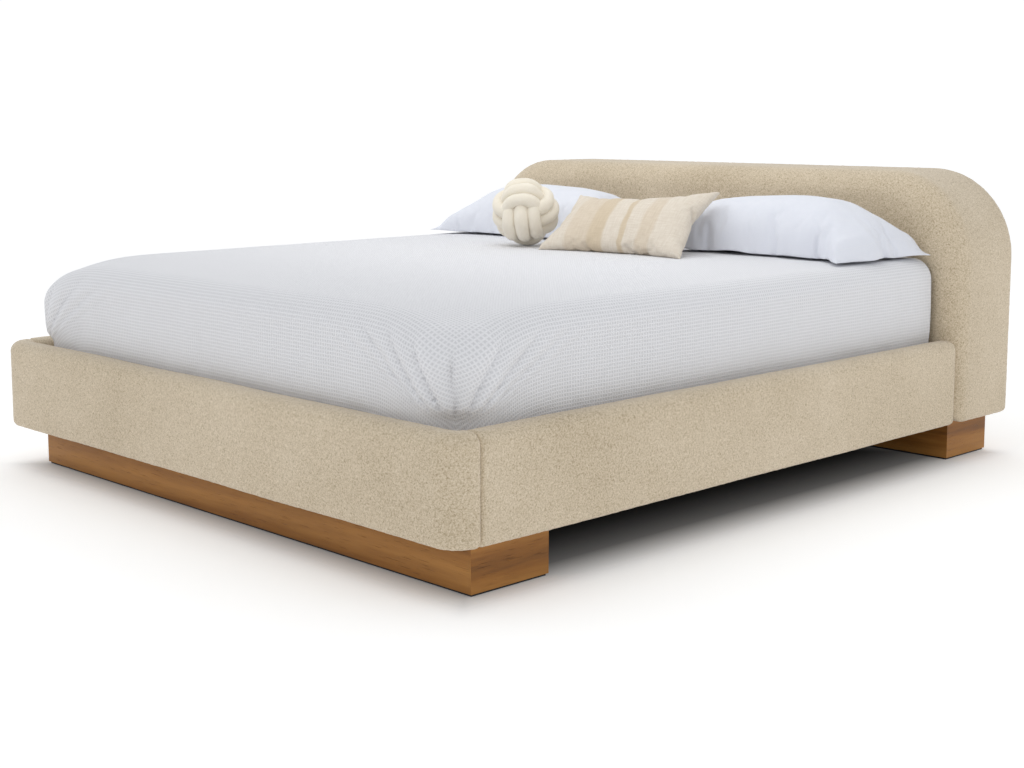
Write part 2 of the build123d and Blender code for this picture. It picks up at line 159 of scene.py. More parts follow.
# %% [markdown]
# ## A small language for shaders
#
# A material is a sum of simple patterns. Written as a formula it can be read, so one small
# class lets a socket be added, multiplied and subtracted like a number. Each sign becomes
# one Math node.


# %% Shader helpers
class Value:
    """A socket that carries a number and understands + - * / and **."""

    def __init__(self, shader, socket):
        self.shader = shader
        self.socket = socket

    def math(self, operation, other=None, third=None):
        inputs = [self.socket]
        inputs += [v.socket if isinstance(v, Value) else v for v in (other, third)
                   if v is not None]
        return Value(self.shader, self.shader.node("ShaderNodeMath", {"operation": operation},
                                                   inputs).outputs[0])

    def __add__(self, other):
        return self.math("ADD", other)

    def __mul__(self, other):
        return self.math("MULTIPLY", other)

    def __sub__(self, other):
        return self.math("SUBTRACT", other)

    def __truediv__(self, other):
        return self.math("DIVIDE", other)

    def __rsub__(self, other):
        return Value(self.shader, self.shader.node("ShaderNodeMath", {"operation": "SUBTRACT"},
                                                   [other, self.socket]).outputs[0])

    def __pow__(self, other):
        return self.math("POWER", other)

    __radd__ = __add__
    __rmul__ = __mul__

    def sine(self):
        return self.math("SINE")

    def between(self, low, high):
        """0 below low, 1 above high, and a soft step from one to the other."""
        node = self.shader.node("ShaderNodeMapRange", {"interpolation_type": "SMOOTHSTEP"},
                                {"Value": self.socket, "From Min": low, "From Max": high})
        return Value(self.shader, node.outputs["Result"])


class Shader:
    """A material under construction."""

    def __init__(self, name, roughness=0.8, sheen=0.0, coat=0.0):
        self.material = bpy.data.materials.new(name)
        self.material.use_nodes = True
        self.tree = self.material.node_tree
        self.surface = self.tree.nodes["Principled BSDF"]
        self.surface.inputs["Roughness"].default_value = roughness
        self.surface.inputs["Sheen Weight"].default_value = sheen
        self.surface.inputs["Sheen Roughness"].default_value = 0.5
        self.surface.inputs["Coat Weight"].default_value = coat
        self.surface.inputs["Specular IOR Level"].default_value = 0.3

    def node(self, kind, settings=None, inputs=()):
        """One node: its settings first, then a value or a link for each input."""
        node = self.tree.nodes.new(kind)
        for name, value in (settings or {}).items():
            if name == "stops":
                ramp = node.color_ramp.elements
                while len(ramp) < len(value):
                    ramp.new(0.5)
                for stop, (place, colour) in zip(ramp, value):
                    stop.position = place
                    stop.color = (*colour, 1)
            else:
                setattr(node, name, value)
        pairs = inputs.items() if isinstance(inputs, dict) else enumerate(inputs)
        for key, value in pairs:
            if isinstance(value, Value):
                value = value.socket
            if isinstance(value, bpy.types.NodeSocket):
                self.tree.links.new(value, node.inputs[key])
            else:
                node.inputs[key].default_value = value
        return node

    def place(self, scale=(1, 1, 1), turn=(0, 0, 0), uv=False):
        """Where a point is on the piece, in metres, stretched or turned."""
        source = self.node("ShaderNodeTexCoord").outputs["UV" if uv else "Object"]
        return self.node("ShaderNodeMapping", None,
                         {"Vector": source, "Rotation": turn, "Scale": scale}).outputs[0]

    def axes(self, vector):
        """The three numbers of a vector."""
        split = self.node("ShaderNodeSeparateXYZ", None, [vector])
        return [Value(self, socket) for socket in split.outputs]

    def noise(self, vector, scale, detail=3.0, rough=0.55):
        node = self.node("ShaderNodeTexNoise", None,
                         {"Vector": vector, "Scale": scale, "Detail": detail,
                          "Roughness": rough})
        return Value(self, node.outputs["Fac"])

    def cells(self, vector, scale, feature="F1"):
        node = self.node("ShaderNodeTexVoronoi", {"feature": feature},
                         {"Vector": vector, "Scale": scale})
        return Value(self, node.outputs["Distance"])

    def ramp(self, value, stops):
        return self.node("ShaderNodeValToRGB", {"stops": stops}, {"Fac": value}).outputs["Color"]

    def mix(self, share, first, second):
        """A colour between two colours."""
        pair = [(*c, 1) if isinstance(c, tuple) else c for c in (first, second)]
        node = self.node("ShaderNodeMix", {"data_type": "RGBA"},
                         {0: share, 6: pair[0], 7: pair[1]})
        return node.outputs[2]

    def colour(self, value):
        self.tree.links.new(value, self.surface.inputs["Base Color"])

    def roughness(self, value):
        self.tree.links.new(value.socket, self.surface.inputs["Roughness"])

    def bump(self, height, distance, strength=1.0):
        node = self.node("ShaderNodeBump", None,
                         {"Height": height, "Distance": distance, "Strength": strength})
        self.tree.links.new(node.outputs["Normal"], self.surface.inputs["Normal"])


def linear(red, green, blue):
    """A colour given as on a paint card, 0 to 255, in the renderer's linear light."""
    return tuple(((c / 255 + 0.055) / 1.055) ** 2.4 if c > 10 else c / 255 / 12.92
                 for c in (red, green, blue))


# %% [markdown]
# ## The materials
#
# Boucle is woven with a yarn that loops back on itself, so its face is a field of curled
# nubs a few millimetres across, each with its own small shadow. A fine noise, bent by a
# slower one, makes the nubs, small cells make the loops, and a last noise the curls.


# %% Boucle
def boucle(name):
    cloth = Shader(name, roughness=0.95, sheen=0.25)
    place = cloth.place()
    curl = cloth.noise(place, 90, 2)
    bent = cloth.node("ShaderNodeVectorMath", {"operation": "MULTIPLY_ADD"},
                      [cloth.node("ShaderNodeTexNoise", None,
                                  {"Vector": place, "Scale": 60}).outputs["Color"],
                       (0.008, 0.008, 0.008), place]).outputs[0]
    nubs = cloth.noise(bent, 190, 3, 0.65)
    loops = 1 - cloth.cells(bent, 300) * 1.2
    height = nubs * 0.62 + loops * 0.28 + curl * 0.10
    wear = cloth.noise(place, 3.0, 4)
    # The colour follows the nubs' height: painted shade in the low pits between them and painted
    # highlights on their tops, with a slow uneven wear over it.
    shade = height * 0.8 + wear * 0.2
    cloth.colour(cloth.ramp(shade, [(0.30, linear(166, 149, 122)), (0.46, linear(200, 184, 158)),
                                    (0.58, linear(216, 201, 178)), (0.74, linear(234, 222, 203))]))
    cloth.bump(height, 0.0022, 0.7)
    return cloth.material


boucle_cloth = boucle("boucle cloth")


# %% Oak and other timber
def timber(name, grain, dark, middle, light, figure=1.0, rough=0.5, coat=0.0):
    """Sawn timber: growth rings stretched along the grain, fine pores, and a slow figure."""
    wood = Shader(name, roughness=rough, coat=coat)
    stretch = [1.0, 1.0, 1.0]
    stretch[grain] = 0.07
    place = wood.place(scale=tuple(stretch))
    sway = wood.noise(place, 3.2, 3)
    fine = wood.noise(place, 60, 4, 0.6)
    pores = wood.noise(wood.place(scale=tuple(0.03 if i == grain else 1.0 for i in range(3))),
                       420, 2)
    axes = wood.axes(place)
    across = axes[2] * 34 + axes[(grain + 1) % 2] * 16
    rings = (across * 1.0 + sway * (9.0 * figure)).sine() * 0.5 + 0.5
    tone = rings * 0.34 + fine * 0.5 + sway * 0.25 - pores.between(0.62, 0.74) * 0.22
    wood.colour(wood.ramp(tone, [(0.18, dark), (0.5, middle), (0.85, light)]))
    wood.roughness(fine * 0.2 + (rough - 0.1))
    wood.bump(fine * 0.5 - pores.between(0.6, 0.75), 0.0006)
    return wood.material


oak_dark, oak_middle, oak_light = linear(96, 58, 20), linear(147, 97, 41), linear(181, 129, 66)
oak_across = timber("oak, grain across", 0, oak_dark, oak_middle, oak_light)
oak_along = timber("oak, grain along", 1, oak_dark, oak_middle, oak_light)
pine_dark, pine_middle, pine_light = (linear(178, 140, 92), linear(214, 180, 132),
                                      linear(232, 204, 160))
pine_across = timber("pine, grain across", 0, pine_dark, pine_middle, pine_light, 0.6, 0.62)
pine_along = timber("pine, grain along", 1, pine_dark, pine_middle, pine_light, 0.6, 0.62)
ply = timber("birch plywood", 0, linear(190, 156, 112), linear(214, 184, 142),
             linear(228, 202, 164), 0.4, 0.6)


# %% Cotton, linen, ticking and knit
def plain_weave(name, colour, shadow, threads, depth, sheen=0.2, uv=False, slub=0.25):
    """Cloth whose warp and weft go over and under each other."""
    cloth = Shader(name, roughness=0.85, sheen=sheen)
    place = cloth.place(uv=uv)
    x, y, z = cloth.axes(place)
    warp = ((x + z * 0.31) * threads).sine()
    weft = ((y + z * 0.87) * threads).sine()
    slubs = cloth.noise(place, 26, 4)
    height = warp * weft * 0.4 + cloth.noise(place, 300, 2) * 0.3
    cloth.colour(cloth.mix((height * 0.5 + slubs * slub + 0.35), shadow, colour))
    cloth.bump(height, depth)
    return cloth.material


pillow_cotton = plain_weave("pillow cotton", linear(234, 236, 243), linear(220, 223, 233),
                            5200, 0.0003, uv=True, slub=0.5)
ticking = plain_weave("mattress ticking", linear(236, 236, 236), linear(205, 207, 210),
                      2200, 0.0008)
back_cloth = plain_weave("back cloth", linear(196, 182, 158), linear(150, 136, 112),
                         1500, 0.001)
webbing = plain_weave("webbing", linear(70, 70, 74), linear(36, 36, 40), 2600, 0.0006)


def foam_block(name):
    pad = Shader(name, roughness=0.95)
    pores = pad.cells(pad.place(), 420)
    pad.colour(pad.mix(pores, linear(206, 196, 160), linear(238, 232, 206)))
    pad.bump(pores, 0.0012)
    return pad.material


def waffle(name):
    """Waffle cloth: a grid of raised threads round square hollows."""
    cloth = Shader(name, roughness=0.9, sheen=0.15)
    x, y, z = cloth.axes(cloth.place(uv=True))
    pitch = 0.0095
    wander = cloth.noise(cloth.place(uv=True), 5.0, 3) * 2.2
    across = (x * (2 * pi / pitch) + wander).sine() * 0.5 + 0.5
    down = (y * (2 * pi / pitch) + wander).sine() * 0.5 + 0.5
    ridges = (across ** 2.0).math("MAXIMUM", down ** 2.0)
    hollow = across * down
    yarn = cloth.noise(cloth.place(uv=True), 900, 2)
    height = ridges * 0.8 - hollow * 0.2 + yarn * 0.12
    # The hollows are painted darker than the raised threads: painted shade in the hollows.
    cloth.colour(cloth.mix(height.between(-0.1, 0.7), linear(208, 208, 211),
                           linear(231, 231, 234)))
    cloth.bump(height, 0.0016, 0.75)
    return cloth.material


def striped_linen(name):
    """Handwoven linen with soft ochre and cream bands and a slubby weave."""
    cloth = Shader(name, roughness=0.9, sheen=0.2)
    place = cloth.place(uv=True)
    x, y, z = cloth.axes(place)
    edge = cloth.noise(place, 14, 4) * 0.016
    band = x + edge
    cream, sand, ochre = linear(228, 219, 205), linear(220, 207, 188), linear(213, 197, 172)
    base = cloth.mix(band.between(0.105, 0.125), cream, sand)
    base = cloth.mix(band.between(0.20, 0.215), base, ochre)
    base = cloth.mix(band.between(0.262, 0.275), base, cream)
    base = cloth.mix(band.between(0.325, 0.332) * (1 - band.between(0.345, 0.352)), base, ochre)
    base = cloth.mix(band.between(0.395, 0.41) * (1 - band.between(0.45, 0.46)), base, sand)
    slub_x = cloth.noise(cloth.place(scale=(1, 0.12, 1), uv=True), 190, 3)
    slub_y = cloth.noise(cloth.place(scale=(0.12, 1, 1), uv=True), 230, 3)
    weave = slub_x * 0.5 + slub_y * 0.5
    cloth.colour(cloth.mix(weave.between(0.3, 0.72), cloth.mix(0.30, base, linear(176, 152, 120)),
                           base))
    cloth.bump(weave + (x * 3600).sine() * (y * 3600).sine() * 0.1, 0.0012)
    return cloth.material


def plush_knit(name):
    """Tight fine knit in cream, with the ribs running along each tube."""
    cloth = Shader(name, roughness=0.92, sheen=0.35)
    x, y, z = cloth.axes(cloth.place(uv=True))
    ribs = (x * (2 * pi * 34)).sine() * 0.5 + 0.5
    rows = (y * 2600).sine() * 0.5 + 0.5
    soft = cloth.noise(cloth.place(), 30, 3)
    height = ribs * 0.4 + rows * 0.2 + cloth.noise(cloth.place(), 500, 2) * 0.3
    cloth.colour(cloth.mix(height * 0.6 + soft * 0.4, linear(226, 215, 194),
                           linear(250, 244, 231)))
    cloth.bump(height, 0.0012)
    return cloth.material


def hard(name, colour, edge, roughness, metallic=0.0, scale=60):
    """Plastic or metal: one tone, a little mottled, with a slightly uneven gloss."""
    skin = Shader(name, roughness=roughness)
    skin.surface.inputs["Metallic"].default_value = metallic
    mottle = skin.noise(skin.place(), scale, 4)
    skin.colour(skin.mix(mottle, colour, edge))
    skin.roughness(mottle * 0.2 + (roughness - 0.1))
    skin.bump(skin.noise(skin.place(), scale * 12, 2), 0.0002)
    return skin.material


foam_pad = foam_block("foam")
waffle_cloth = waffle("waffle cotton")
lumbar_linen = striped_linen("striped linen")
knot_knit = plush_knit("plush knit")
black_plastic = hard("black glide plastic", (0.012, 0.012, 0.013), (0.03, 0.03, 0.032), 0.55)
black_steel = hard("black powder coat", (0.014, 0.014, 0.015), (0.03, 0.03, 0.03), 0.45)
zinc = hard("zinc-plated steel", (0.50, 0.51, 0.53), (0.68, 0.69, 0.70), 0.34, 1.0)
white_thread = hard("white thread", linear(226, 228, 232), linear(244, 245, 248), 0.7)
print("finishes made", len(bpy.data.materials))

# %% The floor's paint, dark where the bed keeps the light off
floor_paint = Shader("studio floor", roughness=0.9)
floor_paint.surface.inputs["Specular IOR Level"].default_value = 0.0
floor_paint.surface.inputs["Emission Strength"].default_value = 0.19
shade_half_width, shade_half_length = 1.05, 1.20
floor_x, floor_y, _ = floor_paint.axes(floor_paint.place())
past_side = floor_x.math("ABSOLUTE") - shade_half_width
past_end = floor_y.math("ABSOLUTE") - shade_half_length
lit = past_side.math("MAXIMUM", past_end).between(-0.36, 0.07)
# The floor's colour and its glow are painted near black under the bed and fade to white past its
# edges: a painted shadow.
floor_with_painted_shadow = floor_paint.ramp(lit, [(0.0, (0.02, 0.02, 0.02)), (0.55, (0.22, 0.22, 0.22)),
                                    (0.85, (0.72, 0.72, 0.72)), (1.0, (1.0, 0.995, 0.99))])
floor_paint.colour(floor_with_painted_shadow)
floor_paint.tree.links.new(floor_with_painted_shadow, floor_paint.surface.inputs["Emission Color"])
floor.data.materials.append(floor_paint.material)
print("floor", 2 * floor_half, "m wide")

# %% [markdown]
# ## The pieces that stay as the CAD made them
#
# Boards, beams, slats and bolts have straight sawn or pressed shapes, so their CAD meshes
# are already right. They only need their timber, steel or plastic.

# %% Dress the CAD nodes
node_finish = {
    "plinth_front": oak_across, "plinth_back": oak_across,
    "plinth_left": oak_along, "plinth_right": oak_along,
    "plinth_top": ply, "glides": black_plastic, "leveller": black_plastic,
    "centre_leg": black_steel, "hangers": zinc, "brackets": zinc, "bolts": zinc,
    "strap": webbing, "slat_ledge": pine_along, "slat_": pine_across,
    "bearer": pine_across, "beam": pine_along, "side_rail_core": pine_along,
    "foot_rail_core": pine_across, "foam": foam_pad, "headboard_panel": ply,
    "headboard_hoop": ply, "headboard_bottom_rail": pine_across, "stile": pine_along,
    "headboard_back_cloth": back_cloth,
}
for name, node in frame["nodes"].items():
    for part_name, finish in node_finish.items():
        if part_name in name:
            node.data.materials.clear()
            node.data.materials.append(finish)
            break
print("nodes dressed", len(frame["nodes"]))


# %% Mesh helpers
def new_piece(name, points, faces, material, uv=None):
    """A mesh object at the origin, smooth, with an optional place on the cloth for each point."""
    mesh = bpy.data.meshes.new(name)
    mesh.from_pydata([tuple(p) for p in points], [], [tuple(f) for f in faces])
    if uv is not None:
        layer = mesh.uv_layers.new(name="cloth")
        corner = np.empty(len(mesh.loops), int)
        mesh.loops.foreach_get("vertex_index", corner)
        layer.data.foreach_set("uv", np.asarray(uv, float)[corner].ravel())
    mesh.polygons.foreach_set("use_smooth", [True] * len(mesh.polygons))
    mesh.materials.append(material)
    piece = bpy.data.objects.new(name, mesh)
    bpy.context.collection.objects.link(piece)
    return piece


def settle(piece):
    """Apply every modifier on a piece, and leave it one plain mesh."""
    graph = bpy.context.evaluated_depsgraph_get()
    mesh = bpy.data.meshes.new_from_object(piece.evaluated_get(graph))
    piece.modifiers.clear()
    piece.data = mesh
    mesh.name = piece.name
    return piece


def face_outwards(piece):
    """Merge doubled points and turn every face outwards."""
    work = bmesh.new()
    work.from_mesh(piece.data)
    bmesh.ops.remove_doubles(work, verts=work.verts, dist=1e-5)
    bmesh.ops.dissolve_degenerate(work, edges=work.edges, dist=1e-6)
    bmesh.ops.recalc_face_normals(work, faces=work.faces)
    work.to_mesh(piece.data)
    work.free()
    return piece


def loft_grid(rows, columns, closed):
    """The quads between rows of points; a closed grid joins its last column to its first."""
    faces = []
    last = columns if closed else columns - 1
    for row in range(rows - 1):
        for column in range(last):
            after = (column + 1) % columns
            faces.append((row * columns + column, row * columns + after,
                          (row + 1) * columns + after, (row + 1) * columns + column))
    return faces


def smooth_step(value):
    value = np.clip(value, 0, 1)
    return value * value * (3 - 2 * value)


def rumple(points, size, amount, seed=0.0):
    """A slow soft unevenness for each point, in metres."""
    shift = Vector((seed, seed * 1.7, -seed))
    return np.array([noise.noise(Vector(p) / size + shift) * amount for p in points])


print("mesh helpers ready")

# %% [markdown]
# ## The rails
#
# An upholstered rail is a board wrapped in foam and cloth. Pulled tight, the cloth rounds
# every edge, and the foam under it never stays quite flat. A section is carried along the
# rail's line, ring by ring, and the rings shrink at a seam, where the cloth turns in.

# %% Sizes taken from the frame
foot_low, foot_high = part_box("foot_rail_cover")
rail_low, rail_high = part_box("side_rail_cover_right")
board_low, board_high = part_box("headboard_cover")
mattress_low, mattress_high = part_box("mattress")
blanket_low, blanket_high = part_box("blanket")
rail_thick = rail_high.x - rail_low.x
seam_y = rail_low.y
bend = 0.002
corner_x = rail_low.x - bend
cloth_step = 0.006
print("rail", round(rail_thick, 3), "thick, top at", round(rail_high.z, 3))


def rail_ring(thick, bottom, top, top_edge, bottom_edge, step):
    """Points (out, up) round a rail's section. out runs from 0 on the inner face to thick."""
    corners = (
        (thick - top_edge, top - top_edge, top_edge, 0),
        (top_edge, top - top_edge, top_edge, 90),
        (bottom_edge, bottom + bottom_edge, bottom_edge, 180),
        (thick - bottom_edge, bottom + bottom_edge, bottom_edge, 270),
    )
    ring = []
    for number, (out, up, radius, start) in enumerate(corners):
        turns = max(4, ceil(radius * pi / 2 / step))
        arc = [(out + radius * cos(radians(start + 90 * t / turns)),
                up + radius * sin(radians(start + 90 * t / turns))) for t in range(turns + 1)]
        ring += arc
        after = corners[(number + 1) % 4]
        far = (after[0] + after[2] * cos(radians(after[3])),
               after[1] + after[2] * sin(radians(after[3])))
        run = hypot(far[0] - arc[-1][0], far[1] - arc[-1][1])
        pieces = max(1, round(run / step))
        ring += [(arc[-1][0] + (far[0] - arc[-1][0]) * t / pieces,
                  arc[-1][1] + (far[1] - arc[-1][1]) * t / pieces) for t in range(1, pieces)]
    return np.array(ring)


def padded_run(name, stations, material, seed):
    """Carry the rail's section past each station: (place, outward direction, shrink)."""
    ring = rail_ring(rail_thick, rail_low.z, rail_high.z, 0.032, 0.018, cloth_step)
    middle = np.array([rail_thick / 2, (rail_low.z + rail_high.z) / 2])
    half = np.array([rail_thick / 2, (rail_high.z - rail_low.z) / 2])
    points = []
    for place, out, shrink in stations:
        section = middle + (ring - middle) * (1 - shrink / half)
        for across, up in section:
            points.append((place[0] + out[0] * across, place[1] + out[1] * across, up))
    points = np.array(points)
    points[:, 2] += rumple(points, 0.35, 0.0022, seed)
    columns = len(ring)
    faces = loft_grid(len(stations), columns, True)
    faces.append(tuple(range(columns))[::-1])
    faces.append(tuple((len(stations) - 1) * columns + c for c in range(columns)))
    piece = new_piece(name, points, faces, material)
    return face_outwards(piece)


def seam_shrink(distance, radius):
    """How far a section has shrunk at a distance from its seam, along a quarter circle."""
    if distance >= radius:
        return 0.0
    return radius - (radius ** 2 - (radius - distance) ** 2) ** 0.5


def nubby(piece, amount=0.0016):
    """Raise the nubs of the boucle a little, so that the edge of a piece looks woolly."""
    texture = bpy.data.textures.new(piece.name + " nubs", "VORONOI")
    texture.noise_scale = 0.011
    texture.distance_metric = "DISTANCE"
    raise_nubs = piece.modifiers.new("nubs", "DISPLACE")
    raise_nubs.texture = texture
    raise_nubs.texture_coords = "LOCAL"
    raise_nubs.strength = -amount
    raise_nubs.mid_level = 0.35
    return settle(piece)


# %% The foot rail, which turns both corners
seam_edge = 0.007
arc_steps = 22
straight_steps = round(2 * corner_x / cloth_step / 1.6)


def corner_stations(side):
    """Stations round one foot corner. Its seam is at the end that meets the side rail."""
    stations = []
    start = 180 if side < 0 else 270
    for step in range(arc_steps + 1):
        angle = radians(start + 90 * step / arc_steps)
        from_seam = rail_thick * 0.6 * (angle - pi if side < 0 else 2 * pi - angle)
        place = (side * corner_x + bend * cos(angle), seam_y + bend * sin(angle))
        stations.append((place, (cos(angle), sin(angle)), seam_shrink(from_seam, seam_edge)))
    return stations


foot_run = [((-corner_x + 2 * corner_x * step / straight_steps, seam_y - bend), (0, -1), 0.0)
            for step in range(1, straight_steps)]
foot_stations = corner_stations(-1) + foot_run + corner_stations(1)
foot_cover = padded_run("foot_rail_boucle", foot_stations, boucle_cloth, 1.0)
nubby(foot_cover)
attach(foot_cover, "bed_frame")
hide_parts("foot_rail_cover", "foot_rail_foam")
print("foot rail faces", len(foot_cover.data.polygons))

# %% The two side rails
side_length = board_low.y - seam_y
side_steps = round(side_length / cloth_step / 1.4)
for side, side_name in ((-1, "left"), (1, "right")):
    stations = []
    for step in range(side_steps + 1):
        along = side_length * step / side_steps
        if step in (1, side_steps - 1):
            along += 0.0015 * (1 if step == 1 else -1)
        shrink = max(seam_shrink(along, seam_edge), seam_shrink(side_length - along, 0.012))
        stations.append(((side * rail_low.x, seam_y + along), (side, 0), shrink))
    side_cover = padded_run(f"side_rail_boucle_{side_name}", stations, boucle_cloth, 3.0 + side)
    nubby(side_cover)
    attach(side_cover, "bed_frame")
    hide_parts(f"side_rail_cover_{side_name}", f"side_rail_foam_{side_name}")

# %% [markdown]
# ## The headboard
#
# The headboard is one deep slab of foam over a bent plywood hoop. Seen from the front its
# shoulders are large quarter circles, and its front edge rolls over softly. Rings follow the
# outline: they start small on the front face, grow to the edge, roll over it, run back and
# shrink again on the back face, where a flat cloth closes the frame.


# %% Rings that follow the headboard's outline
shoulder = 0.286
foot_round = 0.02


def outline(inset, counts):
    """Points (x, z) round the headboard's outline, moved in by an inset."""
    left, right = board_low.x + inset, board_high.x - inset
    bottom, top = board_low.z + inset * 0.98, board_high.z - inset
    big = max(shoulder - inset, 0.004)
    small = max(foot_round - inset, 0.004)
    big = min(big, (top - bottom) / 2 - 0.0005)
    small = min(small, (top - bottom) / 2 - 0.0005)
    parts = [
        ((left + small, bottom), (right - small, bottom), counts[0], None),
        ((right - small, bottom + small), small, counts[1], 270),
        ((right, bottom + small), (right, top - big), counts[2], None),
        ((right - big, top - big), big, counts[3], 0),
        ((right - big, top), (left + big, top), counts[4], None),
        ((left + big, top - big), big, counts[3], 90),
        ((left, top - big), (left, bottom + small), counts[2], None),
        ((left + small, bottom + small), small, counts[1], 180),
    ]
    ring = []
    for first, second, count, start in parts:
        for step in range(count):
            share = step / count
            if start is None:
                ring.append((first[0] + (second[0] - first[0]) * share,
                             first[1] + (second[1] - first[1]) * share))
            else:
                angle = radians(start + 90 * share)
                ring.append((first[0] + second * cos(angle), first[1] + second * sin(angle)))
    return ring


# %% The headboard's levels, from the middle of its front to the middle of its back
board_deep = board_high.y - board_low.y
front_roll, front_roll_deep = 0.085, 0.075
back_roll = 0.03
cloth_panel_inset = 0.075
face_step = 0.0095
ring_counts = (190, 4, 52, 42, 150)
board_levels = []
reach = (board_high.z - board_low.z) / 2 - 0.002
inner_steps = ceil((reach - front_roll) / face_step)
for step in range(inner_steps):
    inset = reach - (reach - front_roll) * step / inner_steps
    crown = 0.003 * (1 - (inset - front_roll) / (reach - front_roll)) ** 2
    board_levels.append((inset, board_low.y + crown))
roll_steps = 14
for step in range(roll_steps + 1):
    angle = pi / 2 * step / roll_steps
    board_levels.append((front_roll * (1 - sin(angle)),
                         board_low.y + 0.003 + (front_roll_deep - 0.003) * (1 - cos(angle))))
side_run = board_deep - front_roll_deep - back_roll
for step in range(1, ceil(side_run / face_step)):
    share = step / ceil(side_run / face_step)
    board_levels.append((0.0, board_low.y + front_roll_deep + side_run * share))
for step in range(7):
    angle = pi / 2 * step / 6
    board_levels.append((back_roll * (1 - cos(angle)),
                         board_high.y - back_roll * (1 - sin(angle))))
for inset in (0.040, 0.050, 0.060, 0.068, 0.0725, 0.0745):
    board_levels.append((inset, board_high.y))
for step in range(1, 12):
    board_levels.append((cloth_panel_inset + 0.001 + (reach - 0.08) * step / 11,
                         board_high.y - 0.0035))
print("headboard levels", len(board_levels))

# %% The headboard's skin
board_points = []
for inset, depth in board_levels:
    board_points += [(x, depth, z) for x, z in outline(inset, ring_counts)]
board_points = np.array(board_points)
board_columns = len(outline(0, ring_counts))
board_faces = loft_grid(len(board_levels), board_columns, True)
board_faces.append(tuple(range(board_columns)))
board_faces.append(tuple((len(board_levels) - 1) * board_columns + c for c in range(board_columns)))
board_points[:, 1] += np.where(board_points[:, 1] < board_low.y + 0.2,
                               np.abs(rumple(board_points, 0.3, 0.004, 7.0)), 0)
headboard = new_piece("headboard_boucle", board_points, board_faces, boucle_cloth)
face_outwards(headboard)
nubby(headboard)
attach(headboard, "bed_frame")
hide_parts("headboard_cover", "headboard_foam")
print("headboard faces", len(headboard.data.polygons))

# %% [markdown]
# ## The mattress
#
# A pocket-sprung mattress is a block with a quilted border and a rolled tape round its top
# and bottom edges. The tape is a cord in a strip of ticking, so it is a tube that follows the
# edge. A Geometry Nodes tree makes every such tube in this file: it takes a curve and a
# radius, and gives back a closed mesh.


# %% Geometry Nodes helpers
def new_tree(name, inputs, output):
    """A Geometry Nodes tree with named inputs and one output."""
    tree = bpy.data.node_groups.new(name, "GeometryNodeTree")
    for label, kind in inputs.items():
        tree.interface.new_socket(label, in_out="INPUT", socket_type="NodeSocket" + kind)
    tree.interface.new_socket(output, in_out="OUTPUT", socket_type="NodeSocketGeometry")
    return tree


def wire(tree, *wires):
    """Join sockets: each wire is a node, its output, the next node and its input."""
    for source, output, target, socket in wires:
        tree.links.new(source.outputs[output], target.inputs[socket])


def set_inputs(modifier, values):
    """Give a Geometry Nodes modifier its inputs by their sockets' identifiers."""
    for item in modifier.node_group.interface.items_tree:
        if item.item_type == "SOCKET" and item.in_out == "INPUT" and item.name in values:
            modifier[item.identifier] = values[item.name]


def line_curve(name, lines, cyclic):
    """A curve object with one straight-run spline for each list of points."""
    curve = bpy.data.curves.new(name, "CURVE")
    curve.dimensions = "3D"
    for line in lines:
        spline = curve.splines.new("POLY")
        spline.points.add(len(line) - 1)
        spline.points.foreach_set("co", np.c_[np.array(line), np.ones(len(line))].ravel())
        spline.use_cyclic_u = cyclic
    holder = bpy.data.objects.new(name, curve)
    bpy.context.collection.objects.link(holder)
    return holder


def grow_along(name, lines, cyclic, tree, values):
    """A plain mesh that a tree grows along lines."""
    holder = line_curve(name + " line", lines, cyclic)
    modifier = holder.modifiers.new("grow", "NODES")
    modifier.node_group = tree
    set_inputs(modifier, values)
    graph = bpy.context.evaluated_depsgraph_get()
    mesh = bpy.data.meshes.new_from_object(holder.evaluated_get(graph))
    mesh.name = name
    bpy.data.objects.remove(holder)
    piece = bpy.data.objects.new(name, mesh)
    bpy.context.collection.objects.link(piece)
    return piece


print("node helpers ready")


# %% A tree that turns a curve into a tube
def node_tree_for_tubes():
    inputs = {"Line": "Geometry", "Radius": "Float", "Sides": "Int", "Spacing": "Float",
              "Finish": "Material"}
    tree = new_tree("tube along a line", inputs, "Tube")
    nodes = tree.nodes
    given = nodes.new("NodeGroupInput")
    resample = nodes.new("GeometryNodeResampleCurve")
    resample.mode = "LENGTH"
    circle = nodes.new("GeometryNodeCurvePrimitiveCircle")
    sweep = nodes.new("GeometryNodeCurveToMesh")
    sweep.inputs["Fill Caps"].default_value = True
    smooth = nodes.new("GeometryNodeSetShadeSmooth")
    paint = nodes.new("GeometryNodeSetMaterial")
    real = nodes.new("GeometryNodeRealizeInstances")
    out = nodes.new("NodeGroupOutput")
    wire(tree,
         (given, "Line", resample, "Curve"), (given, "Spacing", resample, "Length"),
         (resample, "Curve", sweep, "Curve"), (given, "Radius", circle, "Radius"),
         (given, "Sides", circle, "Resolution"), (circle, "Curve", sweep, "Profile Curve"),
         (sweep, "Mesh", smooth, "Geometry"), (smooth, "Geometry", real, "Geometry"),
         (real, "Geometry", paint, "Geometry"), (given, "Finish", paint, "Material"),
         (paint, "Geometry", out, "Tube"))
    return tree


tube_tree = node_tree_for_tubes()


def tube_piece(name, lines, radius, material, sides=10, spacing=0.008, cyclic=True):
    """A plain mesh of tubes along lines."""
    values = {"Radius": radius, "Sides": sides, "Spacing": spacing, "Finish": material}
    return face_outwards(grow_along(name, lines, cyclic, tube_tree, values))


print("tube tree", len(tube_tree.nodes), "nodes")


